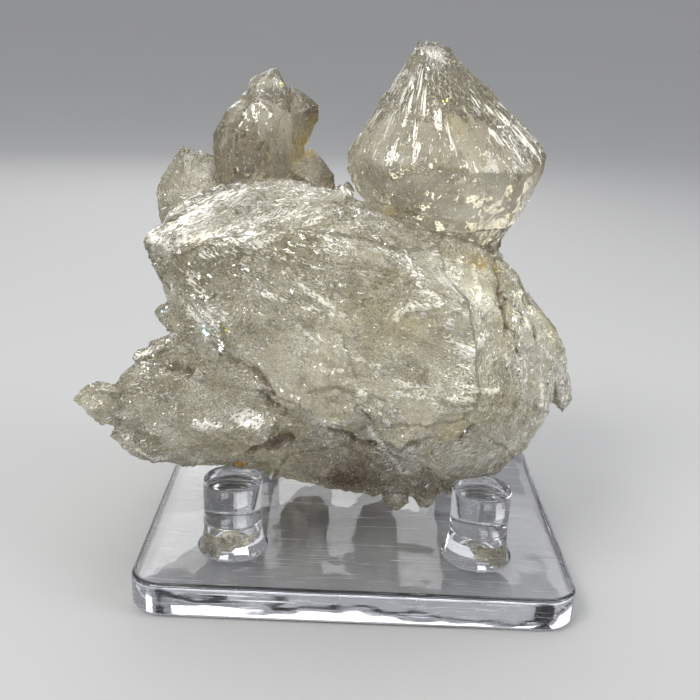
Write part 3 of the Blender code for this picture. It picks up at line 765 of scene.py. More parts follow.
BRIGHT_SEED, BRIGHT_GRAIN = 85, 3.0
CLUMP_SIZES, CLUMP_SEED = (7.0, 2.6), 81
CLUMP_FLOOR, CLUMP_GAIN, CLUMP_RANGE = 0.28, 3.0, (0.08, 1.5)
GIRDLE_HEIGHT, GIRDLE_BLEND = 88.5, 2.0
LOW_DIAMOND_LOSS = 0.85
GLASSY_LOW_DIAMOND, GLASSY_LESS_ABOVE = 0.9, 0.5
GLASSY_EGG, GLASSY_PALE = 0.9, 0.7
DEEP_FROM, DEEP_RANGE = 0.25, 1.2
CLOUD_SIZES, CLOUD_SEED = (5.0, 2.2), 83

density = sum(shares[name] * level for name, level in DENSITIES.items())
density *= np.clip((two_noises(skin, *CLUMP_SIZES, CLUMP_SEED) - CLUMP_FLOOR) * CLUMP_GAIN, *CLUMP_RANGE)
above_girdle = np.clip((skin[:, 2] - GIRDLE_HEIGHT) / GIRDLE_BLEND, 0, 1)
density *= 1 - LOW_DIAMOND_LOSS * shares["diamond"] * (1 - above_girdle)
density = np.maximum(density, spots(skin, BRIGHT, BRIGHT_SEED, BRIGHT_GRAIN))
glassy = shares["diamond"] * (GLASSY_LOW_DIAMOND - GLASSY_LESS_ABOVE * above_girdle)
glassy = glassy + GLASSY_EGG * shares["egg"] + GLASSY_PALE * shares["pale"]
add_shade(quartz, "dashes", np.clip(density, 0, 1))
add_shade(quartz, "glassy", np.clip(glassy, 0, 1))
add_shade(quartz, "path_white", np.clip(path_white, 0, 1))
add_shade(quartz, "path_dark", np.clip(path_dark, 0, 1))
add_shade(quartz, "deep", np.clip((etched - lift - DEEP_FROM) / DEEP_RANGE, 0, 1))
add_shade(quartz, "cloud", two_noises(skin, *CLOUD_SIZES, CLOUD_SEED))
print("mean density of the strokes:", round(float(np.clip(density, 0, 1).mean()), 2))

# %% [markdown]
# ## The weave of the fine grain
# The strokes follow the grain, but not all one way: on each crystal two sets cross at an angle of
# their own, block by block, as the steps on an elestial face do. The material can't measure a
# grain, so its coordinates are worked out here and kept on the points for both sets.

# %% Coordinates of the strokes
# The most turn of each zone's strokes in radians, and their length in millimetres.
WEAVES = {
    "bevel": (0.5, 3.2), "front": (0.9, 2.2), "right": (0.4, 3.0), "low_right": (0.8, 2.4), "arm": (1.2, 1.8),
    "under": (1.4, 1.4), "egg": (0.2, 3.0), "pale": (0.8, 1.8), "back": (0.8, 2.4),
}
DIAMOND_STROKE = np.array([0.6, 0.6, 2.2])
STROKE_WIDTH = 0.42
HALF_ROOT = 0.707
ZONE_APART = 17.0
FIRST_TURN, SECOND_TURN = -0.5, 0.6
BLOCK_SIZE, BLOCK_WANDER = 6.0, 9.0


def weave_of(points, turn_share):
    """Coordinates of the fine grain, each zone's grain turned by a share of its own most turn."""
    names = list(ZONES)
    strongest = np.stack([shares[name] for name in names]).argmax(axis=0)
    result = np.zeros_like(points)
    for index, name in enumerate(names):
        here = strongest == index
        local = points[here]
        if name == "diamond":
            result[here] = apex_rays(local) / DIAMOND_STROKE
            continue
        most_turn, run_length = WEAVES[name]
        lined_up = turned(local, ZONES[name]["grain"], 1.0, 1.0)
        cosine, sine = math.cos(most_turn * turn_share), math.sin(most_turn * turn_share)
        run = lined_up[:, 2] * cosine + (lined_up[:, 0] + lined_up[:, 1]) * sine * HALF_ROOT
        side = lined_up[:, 0] * cosine - lined_up[:, 2] * sine
        scaled = [side / STROKE_WIDTH, lined_up[:, 1] / STROKE_WIDTH, run / run_length]
        result[here] = np.stack(scaled, axis=1)
    return result + strongest[:, None] * ZONE_APART


add_vectors(quartz, "weave", weave_of(skin, FIRST_TURN))
add_vectors(quartz, "cross_weave", weave_of(skin, SECOND_TURN))
add_vectors(quartz, "block", (skin + wander * BLOCK_WANDER) / BLOCK_SIZE)
print("kept on the skin:", [entry.name for entry in quartz.data.attributes if not entry.name.startswith(".")])

# %% [markdown]
# ## The strokes of the quartz
# The material starts with its pattern. A noise that is stretched by the weave gives strokes where
# it is highest, and thin threads where it crosses one level. Dense areas and paths lower the level
# at which a stroke starts. A painted picture could do this too, but it would blur close up.

# %% White strokes
BLOCK_CROSSED = 0.62
GRAIN_NOISE = (1.0, 2.0, 0.6)
FLECK_NOISE = (1.5, 2.0, 0.7)
SHARD_SCALE = 0.42
PATH_FADE = (0.10, 0.55)
STROKE_LEVEL, STROKE_EDGE = 0.67, 0.06
DENSITY_GAIN, PATH_GAIN = 0.17, 0.13
THREAD_LEVEL, THREAD_EDGES = 0.46, (0.040, 0.014)
THREAD_FLECKS, THREAD_DENSITY = (0.56, 0.68), 0.3

stone = Nodes("quartz")
place = stone.place()
weave = stone.kept("weave")
glassy = stone.shade("glassy")
density = stone.shade("dashes")
fleck = stone.noise(place, *FLECK_NOISE)
block = stone.add("ShaderNodeTexVoronoi", Vector=stone.kept("block"), Scale=1.0).outputs["Color"]
crossed = stone.math("GREATER_THAN", block, BLOCK_CROSSED)
straight_grain = stone.noise(weave, *GRAIN_NOISE)
grain = stone.mix(crossed, straight_grain, stone.noise(stone.kept("cross_weave"), *GRAIN_NOISE))
paths = stone.ramp(stone.shade("path_white"), *PATH_FADE)
start = stone.minus(STROKE_LEVEL, stone.times(density, DENSITY_GAIN))
start = stone.minus(start, stone.times(paths, PATH_GAIN))
bright = stone.ramp(grain, start, stone.plus(start, STROKE_EDGE))
thread = stone.near(grain, THREAD_LEVEL, *THREAD_EDGES)
thread_share = stone.plus(fleck, stone.times(density, THREAD_DENSITY))
thread = stone.times(thread, stone.ramp(thread_share, *THREAD_FLECKS))
# Strokes and threads: partly milky quartz, partly painted highlights of the step edges.
lines = stone.larger(bright, thread)
print("nodes for the strokes:", len(stone.tree.nodes))

# %% [markdown]
# ## Shadow between the shards
# Under the strokes the skin is broken in shards, some of them dim. The etched hollows, the seams of
# the grain and the dark paths are in shadow too, and the glassy crystals have least of it.

# %% Shadows and crevices
CLOUD_PART, SHARD_PART = 0.72, 0.28
DIM_EDGES, DIM_GLASSY = (0.57, 0.33), 0.6
SEAM_LEVEL, SEAM_EDGES, SEAM_SHADOW, SEAM_GLASSY = 0.36, (0.03, 0.01), 0.28, 0.15
DEEP_SHADOW, DIM_SHADOW = 0.4, 0.55
DARK_PATH_FADE = (0.15, 0.5)
CREVICE_FADE, CREVICE_COVER = (0.35, 0.85), 0.8

shards = stone.add("ShaderNodeTexVoronoi", Vector=weave, Scale=SHARD_SCALE)
shard = shards.outputs["Color"]
tones = stone.plus(stone.times(stone.shade("cloud"), CLOUD_PART), stone.times(shard, SHARD_PART))
dim = stone.times(stone.ramp(tones, *DIM_EDGES), stone.less_by(DIM_GLASSY, glassy))
seam = stone.near(grain, SEAM_LEVEL, *SEAM_EDGES)
seam = stone.times(seam, stone.minus(SEAM_SHADOW, stone.times(glassy, SEAM_GLASSY)))
shadow = stone.plus(stone.times(stone.shade("deep"), DEEP_SHADOW), stone.times(dim, DIM_SHADOW))
shadow = stone.plus(shadow, seam)
shadow = stone.larger(shadow, stone.ramp(stone.shade("path_dark"), *DARK_PATH_FADE), clamp=True)
# Crevices: painted shade along the dark paths.
crevice = stone.ramp(stone.shade("path_dark"), *CREVICE_FADE)
lines = stone.times(lines, stone.less_by(CREVICE_COVER, crevice))
print("nodes with the shadows:", len(stone.tree.nodes))

# %% [markdown]
# ## The colours of the quartz
# The tints are laid one over the other: clear or straw-yellow quartz first, then milky and smoky
# places, the painted shade of the shadowed places, the underside and the crevices, the white strokes
# over them, partly milky quartz and partly painted highlights, and iron stains last. In a
# see-through material the base colour also tints the light that passes.

# %% Colours
CLEAR_TINT = (0.96, 0.915, 0.75, 1.0)
WARM_TINT = (0.97, 0.91, 0.58, 1.0)
SMOKE_TINT = (0.30, 0.25, 0.17, 1.0)
SHADOW_TINT = (0.38, 0.325, 0.21, 1.0)
# The deep brown of the painted shade, on the underside and in the crevices.
PAINTED_SHADE_TINT = (0.125, 0.082, 0.045, 1.0)
# Milky quartz, and the white strokes, which are partly painted highlights.
MILK_AND_HIGHLIGHT_TINT = (0.93, 0.905, 0.81, 1.0)
CREAM_AND_HIGHLIGHT_TINT = (0.95, 0.90, 0.66, 1.0)
IRON_TINT = (0.66, 0.46, 0.07, 1.0)
MILKY_SHARE, SHADOW_SHARE, CREVICE_SHARE, STROKE_SHARE = 0.35, 0.8, 0.8, 0.95
IRON_FLECKS = (0.30, 0.50)

warm = stone.shade("warm")
milky = stone.shade("milky")
dusky = stone.shade("dusky")
pale = stone.mix(warm, MILK_AND_HIGHLIGHT_TINT, CREAM_AND_HIGHLIGHT_TINT)
colour = stone.mix(warm, CLEAR_TINT, WARM_TINT)
colour = stone.mix(stone.times(milky, MILKY_SHARE), colour, pale)
colour = stone.mix(stone.shade("smoky"), colour, SMOKE_TINT)
colour = stone.mix(stone.times(shadow, SHADOW_SHARE), colour, SHADOW_TINT)
# Painted shade: the underside and a few hollows darken to a deep brown.
colour = stone.mix(dusky, colour, PAINTED_SHADE_TINT)
# Painted shade in the crevices, in the same deep brown.
colour = stone.mix(stone.times(crevice, CREVICE_SHARE), colour, PAINTED_SHADE_TINT)
# The white strokes, partly milky quartz and partly painted highlights of the step edges.
colour = stone.mix(stone.times(lines, STROKE_SHARE), colour, pale)
iron = stone.times(stone.shade("stained"), stone.ramp(fleck, *IRON_FLECKS), clamp=True)
colour = stone.mix(iron, colour, IRON_TINT)
stone.set("Base Color", colour)
print("nodes with the colours:", len(stone.tree.nodes))

# %% [markdown]
# ## How clear the quartz is
# Quartz is clear, with an index of refraction of 1.544, and a little of the light is lost on its
# way through. Each milky, cloudy or stained place, each place of painted shade and each stroke lets
# less light pass, so their shares are added up and taken from the transmission.

# %% Clearness
QUARTZ_IOR = 1.544
QUARTZ_GLOSS = 0.7
CLEAREST = 0.90
MILKY_VEIL, STROKE_VEIL, CLOUD_VEIL, PAINTED_SHADE_VEIL, CLOUDY_VEIL, IRON_VEIL = 0.15, 0.85, 0.06, 0.6, 0.30, 0.5
CLOUD_EDGES = (0.4, 0.7)
ROUGH_LEAST, ROUGH_MORE, ROUGH_FLECKS = 0.02, 0.10, (0.5, 0.7)
QUARTZ_ABSORBS, QUARTZ_DENSITY = (0.82, 0.77, 0.54, 1.0), 10.0

veil = stone.plus(stone.times(milky, MILKY_VEIL), stone.times(lines, STROKE_VEIL))
veil = stone.plus(veil, stone.times(stone.ramp(stone.shade("cloud"), *CLOUD_EDGES), CLOUD_VEIL))
# The painted shade lets less light pass too, so that it stays dark.
veil = stone.plus(veil, stone.times(stone.larger(dusky, crevice), PAINTED_SHADE_VEIL))
veil = stone.plus(veil, stone.times(stone.shade("cloudy"), CLOUDY_VEIL))
veil = stone.plus(veil, stone.times(iron, IRON_VEIL), clamp=True)
stone.set("Transmission Weight", stone.minus(CLEAREST, veil, clamp=True))
stone.set("Roughness", stone.plus(ROUGH_LEAST, stone.times(stone.ramp(fleck, *ROUGH_FLECKS), ROUGH_MORE)))
stone.set("IOR", QUARTZ_IOR)
stone.set("Specular IOR Level", QUARTZ_GLOSS)
stone.absorb(QUARTZ_ABSORBS, QUARTZ_DENSITY)
print("nodes with the clearness:", len(stone.tree.nodes))

# %% [markdown]
# ## Steps too small for the mesh
# Steps finer than the mesh are a bump: each shard slopes its own way, which makes the skin glitter
# as etched faces do, and the strokes stand a little proud. The finished material goes on the skin,
# which rides with the stand and takes the place of the plain solid.

# %% Bump, and the skin takes the stone's place
MIDDLE_GREY = (0.5, 0.5, 0.5)
BUMP_GLASSY, BUMP_STROKES = 0.7, 0.5
BUMP_HEIGHT, BUMP_STRENGTH = 0.00028, 1.0

shard_tilt = stone.vector("SUBTRACT", shard, MIDDLE_GREY)
ledge = stone.vector("DOT_PRODUCT", shard_tilt, stone.vector("SUBTRACT", weave, shards.outputs["Position"]))
ledge = stone.times(ledge, stone.less_by(BUMP_GLASSY, glassy))
height = stone.plus(ledge, stone.times(lines, BUMP_STROKES))
stone.set("Normal", stone.bump(height, BUMP_HEIGHT, BUMP_STRENGTH))
quartz.data.materials.append(stone.material)
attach(quartz, "root")
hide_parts("quartz_cluster")
print("quartz material:", len(stone.tree.nodes), "nodes")

# %% [markdown]
# ## Silver flakes inside
# Cracks that healed while the crystals grew are the silvery veils of such a stone. Each veil is a
# swarm of thin flakes that lie nearly in one plane, and most lie close under the skin, where they
# are seen best. To scatter them, the skin is read as triangles with an area and a way out each.

# %% The skin as triangles
SKIN_MARGIN = 0.12
RAY_STEP = 0.0005
RAYS = (Vector((0.31, 0.95, 0.05)).normalized(), Vector((-0.84, 0.12, 0.53)).normalized())
LEAST_LENGTH = 1e-9
SCATTER_SEED = 17

rng = np.random.default_rng(SCATTER_SEED)
skin = points_of(quartz)
triangles = triangles_of(quartz)
tree = BVHTree.FromPolygons(skin.tolist(), triangles.tolist())
corners = skin[triangles]
face_cross = np.cross(corners[:, 1] - corners[:, 0], corners[:, 2] - corners[:, 0])
face_area = np.linalg.norm(face_cross, axis=1)
face_normal = face_cross / np.maximum(face_area, LEAST_LENGTH)[:, None]


def unit(vectors):
    """The same directions with a length of one."""
    return vectors / np.maximum(np.linalg.norm(vectors, axis=-1, keepdims=True), LEAST_LENGTH)


def on_skin(picked):
    """A random place on each of the picked triangles."""
    blend = rng.dirichlet((1, 1, 1), len(picked))
    return (corners[picked] * blend[:, :, None]).sum(axis=1)


def under_skin(count, shallow, deep, bias):
    """Random places under the skin, more of them near it, with the way out from each."""
    picked = rng.choice(len(triangles), count, p=face_area / face_area.sum())
    foot = on_skin(picked)
    depth = shallow + (deep - shallow) * rng.random(count) ** bias
    return foot - face_normal[picked] * depth[:, None], face_normal[picked]


def crossings(point, way):
    """How many times a straight line from the point crosses the skin."""
    count, start = 0, Vector(point)
    while (hit := tree.ray_cast(start, way)[0]) is not None:
        count += 1
        start = hit + way * RAY_STEP
    return count


def inside_stone(points):
    """True where a point lies in the stone: a line out of it crosses the skin an odd number of times."""
    kept = np.zeros(len(points), bool)
    for index, point in enumerate(points):
        if tree.find_nearest(point)[3] > SKIN_MARGIN:
            kept[index] = all(crossings(point, way) % 2 == 1 for way in RAYS)
    return kept


print("skin of", round(float(face_area.sum() / 2 / 100), 1), "square centimetres")

# %% [markdown]
# ## Veils and loose flakes
# A veil starts at a random place under the skin, in a plane tipped from it, and its flakes are
# spread over the plane in a soft wave. Loose flakes fill in between. A flake that would reach out
# of the stone at its middle or at either end is left out.

# %% Places of the silver flakes
VEILS, VEIL_FLAKES, LOOSE_FLAKES = 110, 70, 2200
VEIL_DEPTHS, LOOSE_DEPTHS = (0.6, 9.0, 1.6), (0.25, 5.0, 1.8)
VEIL_TILT, FLAKE_TILT, LOOSE_TILT = 0.75, 0.16, 0.45
VEIL_REACH, VEIL_SPREAD = (3.0, 9.0), 0.45
WAVE_HEIGHT, WAVE_RATE, WAVE_SCATTER = 0.5, 0.7, 0.12
NUDGE = 0.01
LENGTH_SHAPE, LENGTH_SIZE, LENGTH_LEAST = 2.2, 0.30, 0.25
FLAKE_TURN = 0.22
FLAKE_WIDTHS = (0.16, 0.55)


def grain_at(points):
    """The grain of the zone that each point lies in."""
    away = [distance_to_line(points, zone["line"]) / zone["reach"] for zone in ZONES.values()]
    grains = unit(np.array([zone["grain"] for zone in ZONES.values()], float))
    return grains[np.stack(away).argmin(axis=0)]


def long_way(middles, planes, spread):
    """Lies each flake along the grain, give or take the spread."""
    grain = grain_at(middles) + rng.normal(0, spread, middles.shape)
    return unit(grain - planes * (grain * planes).sum(axis=1, keepdims=True))


def veil(middle, outward):
    """The middles and planes of the flakes of one veil."""
    plane = unit(outward + rng.normal(0, VEIL_TILT, 3))
    first = unit(np.cross(plane, grain_at(middle[None])[0] + NUDGE))
    second = np.cross(plane, first)
    reach = rng.uniform(*VEIL_REACH, 2)
    spread = rng.normal(0, VEIL_SPREAD, (VEIL_FLAKES, 2)) * reach
    wave = WAVE_HEIGHT * np.sin(spread[:, :1] * WAVE_RATE) + rng.normal(0, WAVE_SCATTER, (VEIL_FLAKES, 1))
    places = middle + spread[:, :1] * first + spread[:, 1:] * second + wave * plane
    return places, unit(plane + rng.normal(0, FLAKE_TILT, (VEIL_FLAKES, 3)))


def scattered():
    """Middles, planes, long ways, lengths and widths of all the silver flakes."""
    groups = [veil(middle, outward) for middle, outward in zip(*under_skin(VEILS, *VEIL_DEPTHS))]
    loose_middles, loose_outward = under_skin(LOOSE_FLAKES, *LOOSE_DEPTHS)
    loose_planes = unit(loose_outward + rng.normal(0, LOOSE_TILT, (LOOSE_FLAKES, 3)))
    groups.append((loose_middles, loose_planes))
    middles, planes = (np.concatenate(rows) for rows in zip(*groups))
    length = rng.gamma(LENGTH_SHAPE, LENGTH_SIZE, len(middles)) + LENGTH_LEAST
    kept = inside_stone(middles)
    middles, planes, length = middles[kept], planes[kept], length[kept]
    along = long_way(middles, planes, FLAKE_TURN)
    for end in (-0.5, 0.5):
        kept = inside_stone(middles + along * (length * end)[:, None])
        middles, planes, along, length = middles[kept], planes[kept], along[kept], length[kept]
    return middles, planes, along, length, length * rng.uniform(*FLAKE_WIDTHS, len(middles))


silver_places = scattered()
print("silver flakes inside the stone:", len(silver_places[0]), "of", VEILS * VEIL_FLAKES + LOOSE_FLAKES)

# %% [markdown]
# ## The shape of a flake
# Each flake is a closed lens, a hair thick, with an uneven outline of five points. It has only ten
# triangles, because there are thousands, and all the flakes of one kind are one mesh.

# %% Make the silver flakes
FLAKE_RIM = 5
FLAKE_HALF_THICK = 0.02
RIM_TURN, RIM_SWELL = 0.3, (0.65, 1.0)


def lens_flakes(name, middles, planes, along, length, width, hues=None):
    """Closed, hair-thin lenses with uneven outlines, all in one object."""
    across = np.cross(planes, along)
    turns = rng.uniform(-RIM_TURN, RIM_TURN, (len(middles), FLAKE_RIM))
    turns = (np.arange(FLAKE_RIM) + turns) * math.tau / FLAKE_RIM
    swell = rng.uniform(*RIM_SWELL, turns.shape)
    rims = middles[:, None] + along[:, None] * (np.cos(turns) * swell * length[:, None] / 2)[:, :, None]
    rims = rims + across[:, None] * (np.sin(turns) * swell * width[:, None] / 2)[:, :, None]
    bulge = planes * FLAKE_HALF_THICK
    points = np.concatenate([rims, (middles + bulge)[:, None], (middles - bulge)[:, None]], axis=1)
    pattern = [(FLAKE_RIM, i, (i + 1) % FLAKE_RIM) for i in range(FLAKE_RIM)]
    pattern += [(FLAKE_RIM + 1, (i + 1) % FLAKE_RIM, i) for i in range(FLAKE_RIM)]
    faces = np.array(pattern)[None] + (np.arange(len(middles)) * (FLAKE_RIM + 2))[:, None, None]
    mesh = bpy.data.meshes.new(name)
    mesh.from_pydata((points.reshape(-1, 3) * MM).tolist(), [], faces.reshape(-1, 3).tolist())
    obj = bpy.data.objects.new(name, mesh)
    bpy.context.scene.collection.objects.link(obj)
    pick_only(obj)
    bpy.ops.object.mode_set(mode="EDIT")
    bpy.ops.mesh.select_all(action="SELECT")
    bpy.ops.mesh.normals_make_consistent(inside=False)
    bpy.ops.object.mode_set(mode="OBJECT")
    hues = rng.random(len(middles)) if hues is None else hues
    add_shade(obj, "hue", np.repeat(hues, FLAKE_RIM + 2))
    print(name, "of", len(middles), "flakes with", len(mesh.polygons), "triangles")
    return obj


flakes = lens_flakes("silver_flakes", *silver_places)

# %% [markdown]
# ## Glints on the skin
# The tiny edges of the steps mirror the light. They are the same lenses, half sunk in the skin and
# nearly flat on it, and there are more of them where the white strokes are dense.

# %% Make the glints
GLINTS, GLINT_DEPTH, GLINT_TILT, GLINT_TURN = 12000, 0.01, 0.10, 0.4
GLINT_SHAPE, GLINT_SIZE, GLINT_LEAST = 2.0, 0.34, 0.35
GLINT_WIDTHS, GLINT_WIDTH_LIMITS = (0.12, 0.34), (0.12, 0.5)
EVEN_PART, DENSE_POWER = 0.06, 1.2


def dash_weight():
    """How likely each triangle is to carry a glint."""
    dashes = np.empty(len(skin), np.float32)
    quartz.data.attributes["dashes"].data.foreach_get("value", dashes)
    weight = face_area * (EVEN_PART + dashes[triangles].mean(axis=1)) ** DENSE_POWER
    return weight / weight.sum()


def glinting():
    """Middles, planes, long ways, lengths and widths of the glints."""
    picked = rng.choice(len(triangles), GLINTS, p=dash_weight())
    middles = on_skin(picked) - face_normal[picked] * GLINT_DEPTH
    planes = unit(face_normal[picked] + rng.normal(0, GLINT_TILT, (GLINTS, 3)))
    length = rng.gamma(GLINT_SHAPE, GLINT_SIZE, GLINTS) + GLINT_LEAST
    along = long_way(middles, planes, GLINT_TURN)
    width = np.clip(length * rng.uniform(*GLINT_WIDTHS, GLINTS), *GLINT_WIDTH_LIMITS)
    return middles, planes, along, length, width


glints = lens_flakes("step_glints", *glinting())

# %% [markdown]
# ## Flashes one can name
# A few step faces flash in the photograph, some of them in cyan and yellow, where a thin film in a
# crack splits the light. A face flashes when it stands half-way between the eye and the lamp, so
# these lenses are tipped just so. The rest of them are sparks, strewn over the dense places.

# %% Make the flashing faces
SPARKS, SPARK_TRIES, SPARK_SIZE = 320, 3, 0.7
FLASH_DEPTH, FLASH_SCATTER, FLASH_TILT, SPARK_TILT, FLASH_TURN = 0.05, 0.5, 0.05, 0.08, 0.5
FLASH_LENGTHS, FLASH_WIDTHS = (0.4, 1.3), (0.2, 0.5)
LEAST_FACING = 0.5
SILVER, STRAW, YELLOW, CYAN = 0.5, 0.83, 2.0, 3.0
SILVER_SPARKS = 0.85
# The middle of each group, its reach, how many faces it has and their hue.
FLASHES = [
    ((-31.1, -28.8, 60.2), 1.8, 16, CYAN), ((-28.6, -29.7, 57.5), 1.8, 16, SILVER),
    ((-27.3, -28.2, 60.6), 1.3, 8, YELLOW), ((-42.0, -13.0, 58.5), 0.8, 7, CYAN),
    ((-21.6, 11.9, 104.8), 0.9, 6, SILVER), ((-20.3, 12.7, 103.6), 0.8, 4, YELLOW),
    ((14.9, -3.6, 103.3), 0.8, 5, YELLOW), ((-22.4, -29.2, 42.0), 2.2, 18, SILVER),
    ((-30.0, -29.0, 39.3), 2.0, 9, SILVER), ((18.0, -36.4, 53.0), 3.0, 14, SILVER),
    ((22.0, -30.0, 39.5), 3.5, 12, SILVER), ((-24.0, -29.5, 69.0), 3.5, 14, SILVER),
    ((-33.0, -25.0, 71.0), 3.0, 12, SILVER), ((-46.0, -14.0, 47.0), 2.5, 9, SILVER),
    ((10.5, 2.0, 112.0), 2.0, 9, SILVER), ((27.0, 0.5, 98.5), 3.5, 12, SILVER),
    ((-8.0, -31.0, 43.5), 2.5, 9, SILVER), ((29.0, -22.0, 61.5), 2.5, 10, SILVER),
]


def half_way(foot):
    """The way a face at this place has to look to mirror the first panel to the camera."""
    to_eye = unit(np.array(CAMERA_PLACE) / MM - foot)
    to_light = unit(np.array(LIGHTS["key"][0]) / MM - foot)
    return unit(to_eye + to_light)


def flashing():
    """Middles, planes, long ways, lengths, widths and hues of the flashing faces."""
    middles, planes, hues = [], [], []
    for place, reach, count, hue in FLASHES:
        for spot in np.array(place) + rng.normal(0, FLASH_SCATTER, (count, 3)) * reach:
            foot, normal = (np.array(found) for found in tree.find_nearest(spot)[:2])
            middles.append(foot - normal * FLASH_DEPTH)
            planes.append(unit(half_way(foot) + rng.normal(0, FLASH_TILT, 3)))
            hues.append(hue)
    grouped = len(middles)
    for triangle in rng.choice(len(triangles), SPARKS * SPARK_TRIES, p=dash_weight()):
        foot, normal = corners[triangle].mean(axis=0), face_normal[triangle]
        mirror_way = half_way(foot)
        if mirror_way @ normal > LEAST_FACING and len(middles) < grouped + SPARKS:
            middles.append(foot - normal * FLASH_DEPTH)
            planes.append(unit(mirror_way + rng.normal(0, SPARK_TILT, 3)))
            hues.append(SILVER if rng.random() < SILVER_SPARKS else STRAW)
    middles, planes = np.array(middles), np.array(planes)
    length = rng.uniform(*FLASH_LENGTHS, len(middles))
    length[grouped:] *= SPARK_SIZE
    along = long_way(middles, planes, FLASH_TURN)
    return middles, planes, along, length, length * rng.uniform(*FLASH_WIDTHS, len(middles)), np.array(hues)


flashes = lens_flakes("flash_faces", *flashing())

# %% [markdown]
# ## The finish of the flakes
# A healed crack mirrors like thin silver, so the flakes are mostly metallic and nearly smooth. Each
# flake has a hue of its own, kept on its points: silver mostly, straw or pale blue for some, and
# clear yellow and cyan for the flashes that have those colours.

# %% Flake material
SILVER_TINT = (0.93, 0.92, 0.88, 1.0)
# The hues between which each tint takes over from the one before.
HUE_TINTS = [
    ((0.80, 0.86), (0.93, 0.83, 0.55, 1.0)),
    ((0.94, 0.96), (0.80, 0.93, 0.95, 1.0)),
    ((1.5, 1.6), (0.95, 0.86, 0.10, 1.0)),
    ((2.5, 2.6), (0.35, 0.85, 0.95, 1.0)),
]
FLAKE_METAL, FLAKE_ROUGH = 0.75, (0.08, 0.20)

silver = Nodes("healed_cracks")
hue = silver.shade("hue")
colour = SILVER_TINT
for edges, tint in HUE_TINTS:
    colour = silver.mix(silver.ramp(hue, *edges), colour, tint)
silver.set("Base Color", colour)
silver.set("Metallic", FLAKE_METAL)
silver.set("Roughness", silver.ramp(hue, 0.0, 1.0, *FLAKE_ROUGH))
for obj in (flakes, glints, flashes):
    obj.data.materials.append(silver.material)
    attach(obj, "root")
print("flake material:", len(silver.tree.nodes), "nodes")

# %% [markdown]
# ## A grain of amber colour
# Low in front, just above the left peg, one small grain glows orange. It is a drop of iron-rich
# mineral on the skin, so it is a small rounded grain, half sunk in the stone. It starts as a ball,
# which noise makes uneven and three sizes make oval.

# %% Orange grain
AMBER_NEAR = (-25.5, -22.5, 26.0)
AMBER_SIZE = (0.95, 0.8, 0.75)
AMBER_SWELL, AMBER_RATE, AMBER_SHIFT, AMBER_SEED = 0.25, 1.6, 9, 95
AMBER_DARK, AMBER_BRIGHT = (0.85, 0.30, 0.02, 1.0), (0.95, 0.50, 0.05, 1.0)
AMBER_NOISE, AMBER_EDGES = (2.0, 2.0, 0.5), (0.35, 0.65)
AMBER_ROUGH, AMBER_CLEAR = 0.12, 0.4

foot = tree.find_nearest(AMBER_NEAR)[0]
bpy.ops.mesh.primitive_ico_sphere_add(subdivisions=3, radius=1.0, location=(0, 0, 0))
amber = bpy.context.active_object
amber.name = "orange_grain"
drop = points_of(amber) * MM
drop *= 1 + AMBER_SWELL * (smooth_noise(drop * AMBER_RATE + AMBER_SHIFT, AMBER_SEED)[:, None] - 0.5)
set_points(amber, drop * np.array(AMBER_SIZE) + np.array(foot))
bpy.ops.object.shade_smooth()
resin = Nodes("orange_grain")
tone = resin.noise(resin.place(), *AMBER_NOISE)
resin.set("Base Color", resin.mix(resin.ramp(tone, *AMBER_EDGES), AMBER_DARK, AMBER_BRIGHT))
resin.set("Roughness", AMBER_ROUGH)
resin.set("Transmission Weight", AMBER_CLEAR)
resin.set("IOR", QUARTZ_IOR)
amber.data.materials.append(resin.material)
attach(amber, "root")
print("orange grain:", [round(x / MM, 2) for x in amber.dimensions], "mm")

# %% [markdown]
# ## The clear plate
# The plate is cut from clear sheet, its corners rounded and its edges polished. It starts as a
# cube. The four upright edges are bevelled first, and then the long edges round its top and bottom.
# Polished edges are what one sees of a clear sheet, so their bevel has six segments.

# %% Plate
PLATE = Vector((94.0, 76.0, 7.7)) * MM
PLATE_CORNER = 7.0 * MM
PLATE_EDGE = 1.3 * MM
CORNER_SEGMENTS, EDGE_SEGMENTS = 16, 6
SHARP_ANGLE = 1.2
PLATE_SMOOTH = 30


def select_edges(obj, wanted):
    """Goes to edit mode with only the wanted edges selected."""
    pick_only(obj)
    bpy.ops.object.mode_set(mode="EDIT")
    bpy.ops.mesh.select_mode(type="EDGE")
    bpy.ops.mesh.select_all(action="DESELECT")
    editing = bmesh.from_edit_mesh(obj.data)
    for edge in editing.edges:
        edge.select_set(wanted(edge))
    bmesh.update_edit_mesh(obj.data)


def is_upright(edge):
    return abs(edge.verts[0].co.z - edge.verts[1].co.z) > PLATE.z / 2


def is_sharp(edge):
    return edge.is_manifold and edge.calc_face_angle() > SHARP_ANGLE


bpy.ops.mesh.primitive_cube_add(size=1, location=(0, 0, PLATE.z / 2))
plate = bpy.context.active_object
plate.name = "clear_plate"
plate.scale = PLATE
bpy.ops.object.transform_apply(location=True, scale=True)
select_edges(plate, is_upright)
bpy.ops.mesh.bevel(
    offset=PLATE_CORNER, offset_type="OFFSET", segments=CORNER_SEGMENTS, profile=0.5, affect="EDGES"
)
select_edges(plate, is_sharp)
bpy.ops.mesh.bevel(
    offset=PLATE_EDGE, offset_type="OFFSET", segments=EDGE_SEGMENTS, profile=0.5, affect="EDGES"
)
bpy.ops.mesh.select_all(action="SELECT")
bpy.ops.mesh.normals_make_consistent(inside=False)
bpy.ops.object.mode_set(mode="OBJECT")
bpy.ops.object.shade_smooth_by_angle(angle=math.radians(PLATE_SMOOTH))
print("plate:", [round(x / MM, 2) for x in plate.dimensions], "mm")

# %% [markdown]
# ## The pegs
# Each peg is a turned rod with a polished rim, a fine ring a third of the way up, and a foot that
# flares where it was flowed onto the plate. Half of its outline is drawn once and spun about the
# upright axis, and the other three are copies with meshes of their own.

# %% Pegs
PEG_PLACES = {
    "front_left": (-26.85, -21.5), "front_right": (26.85, -21.5),
    "rear_left": (-26.85, 21.5), "rear_right": (26.85, 21.5),
}
PEG_BASE = 8.0
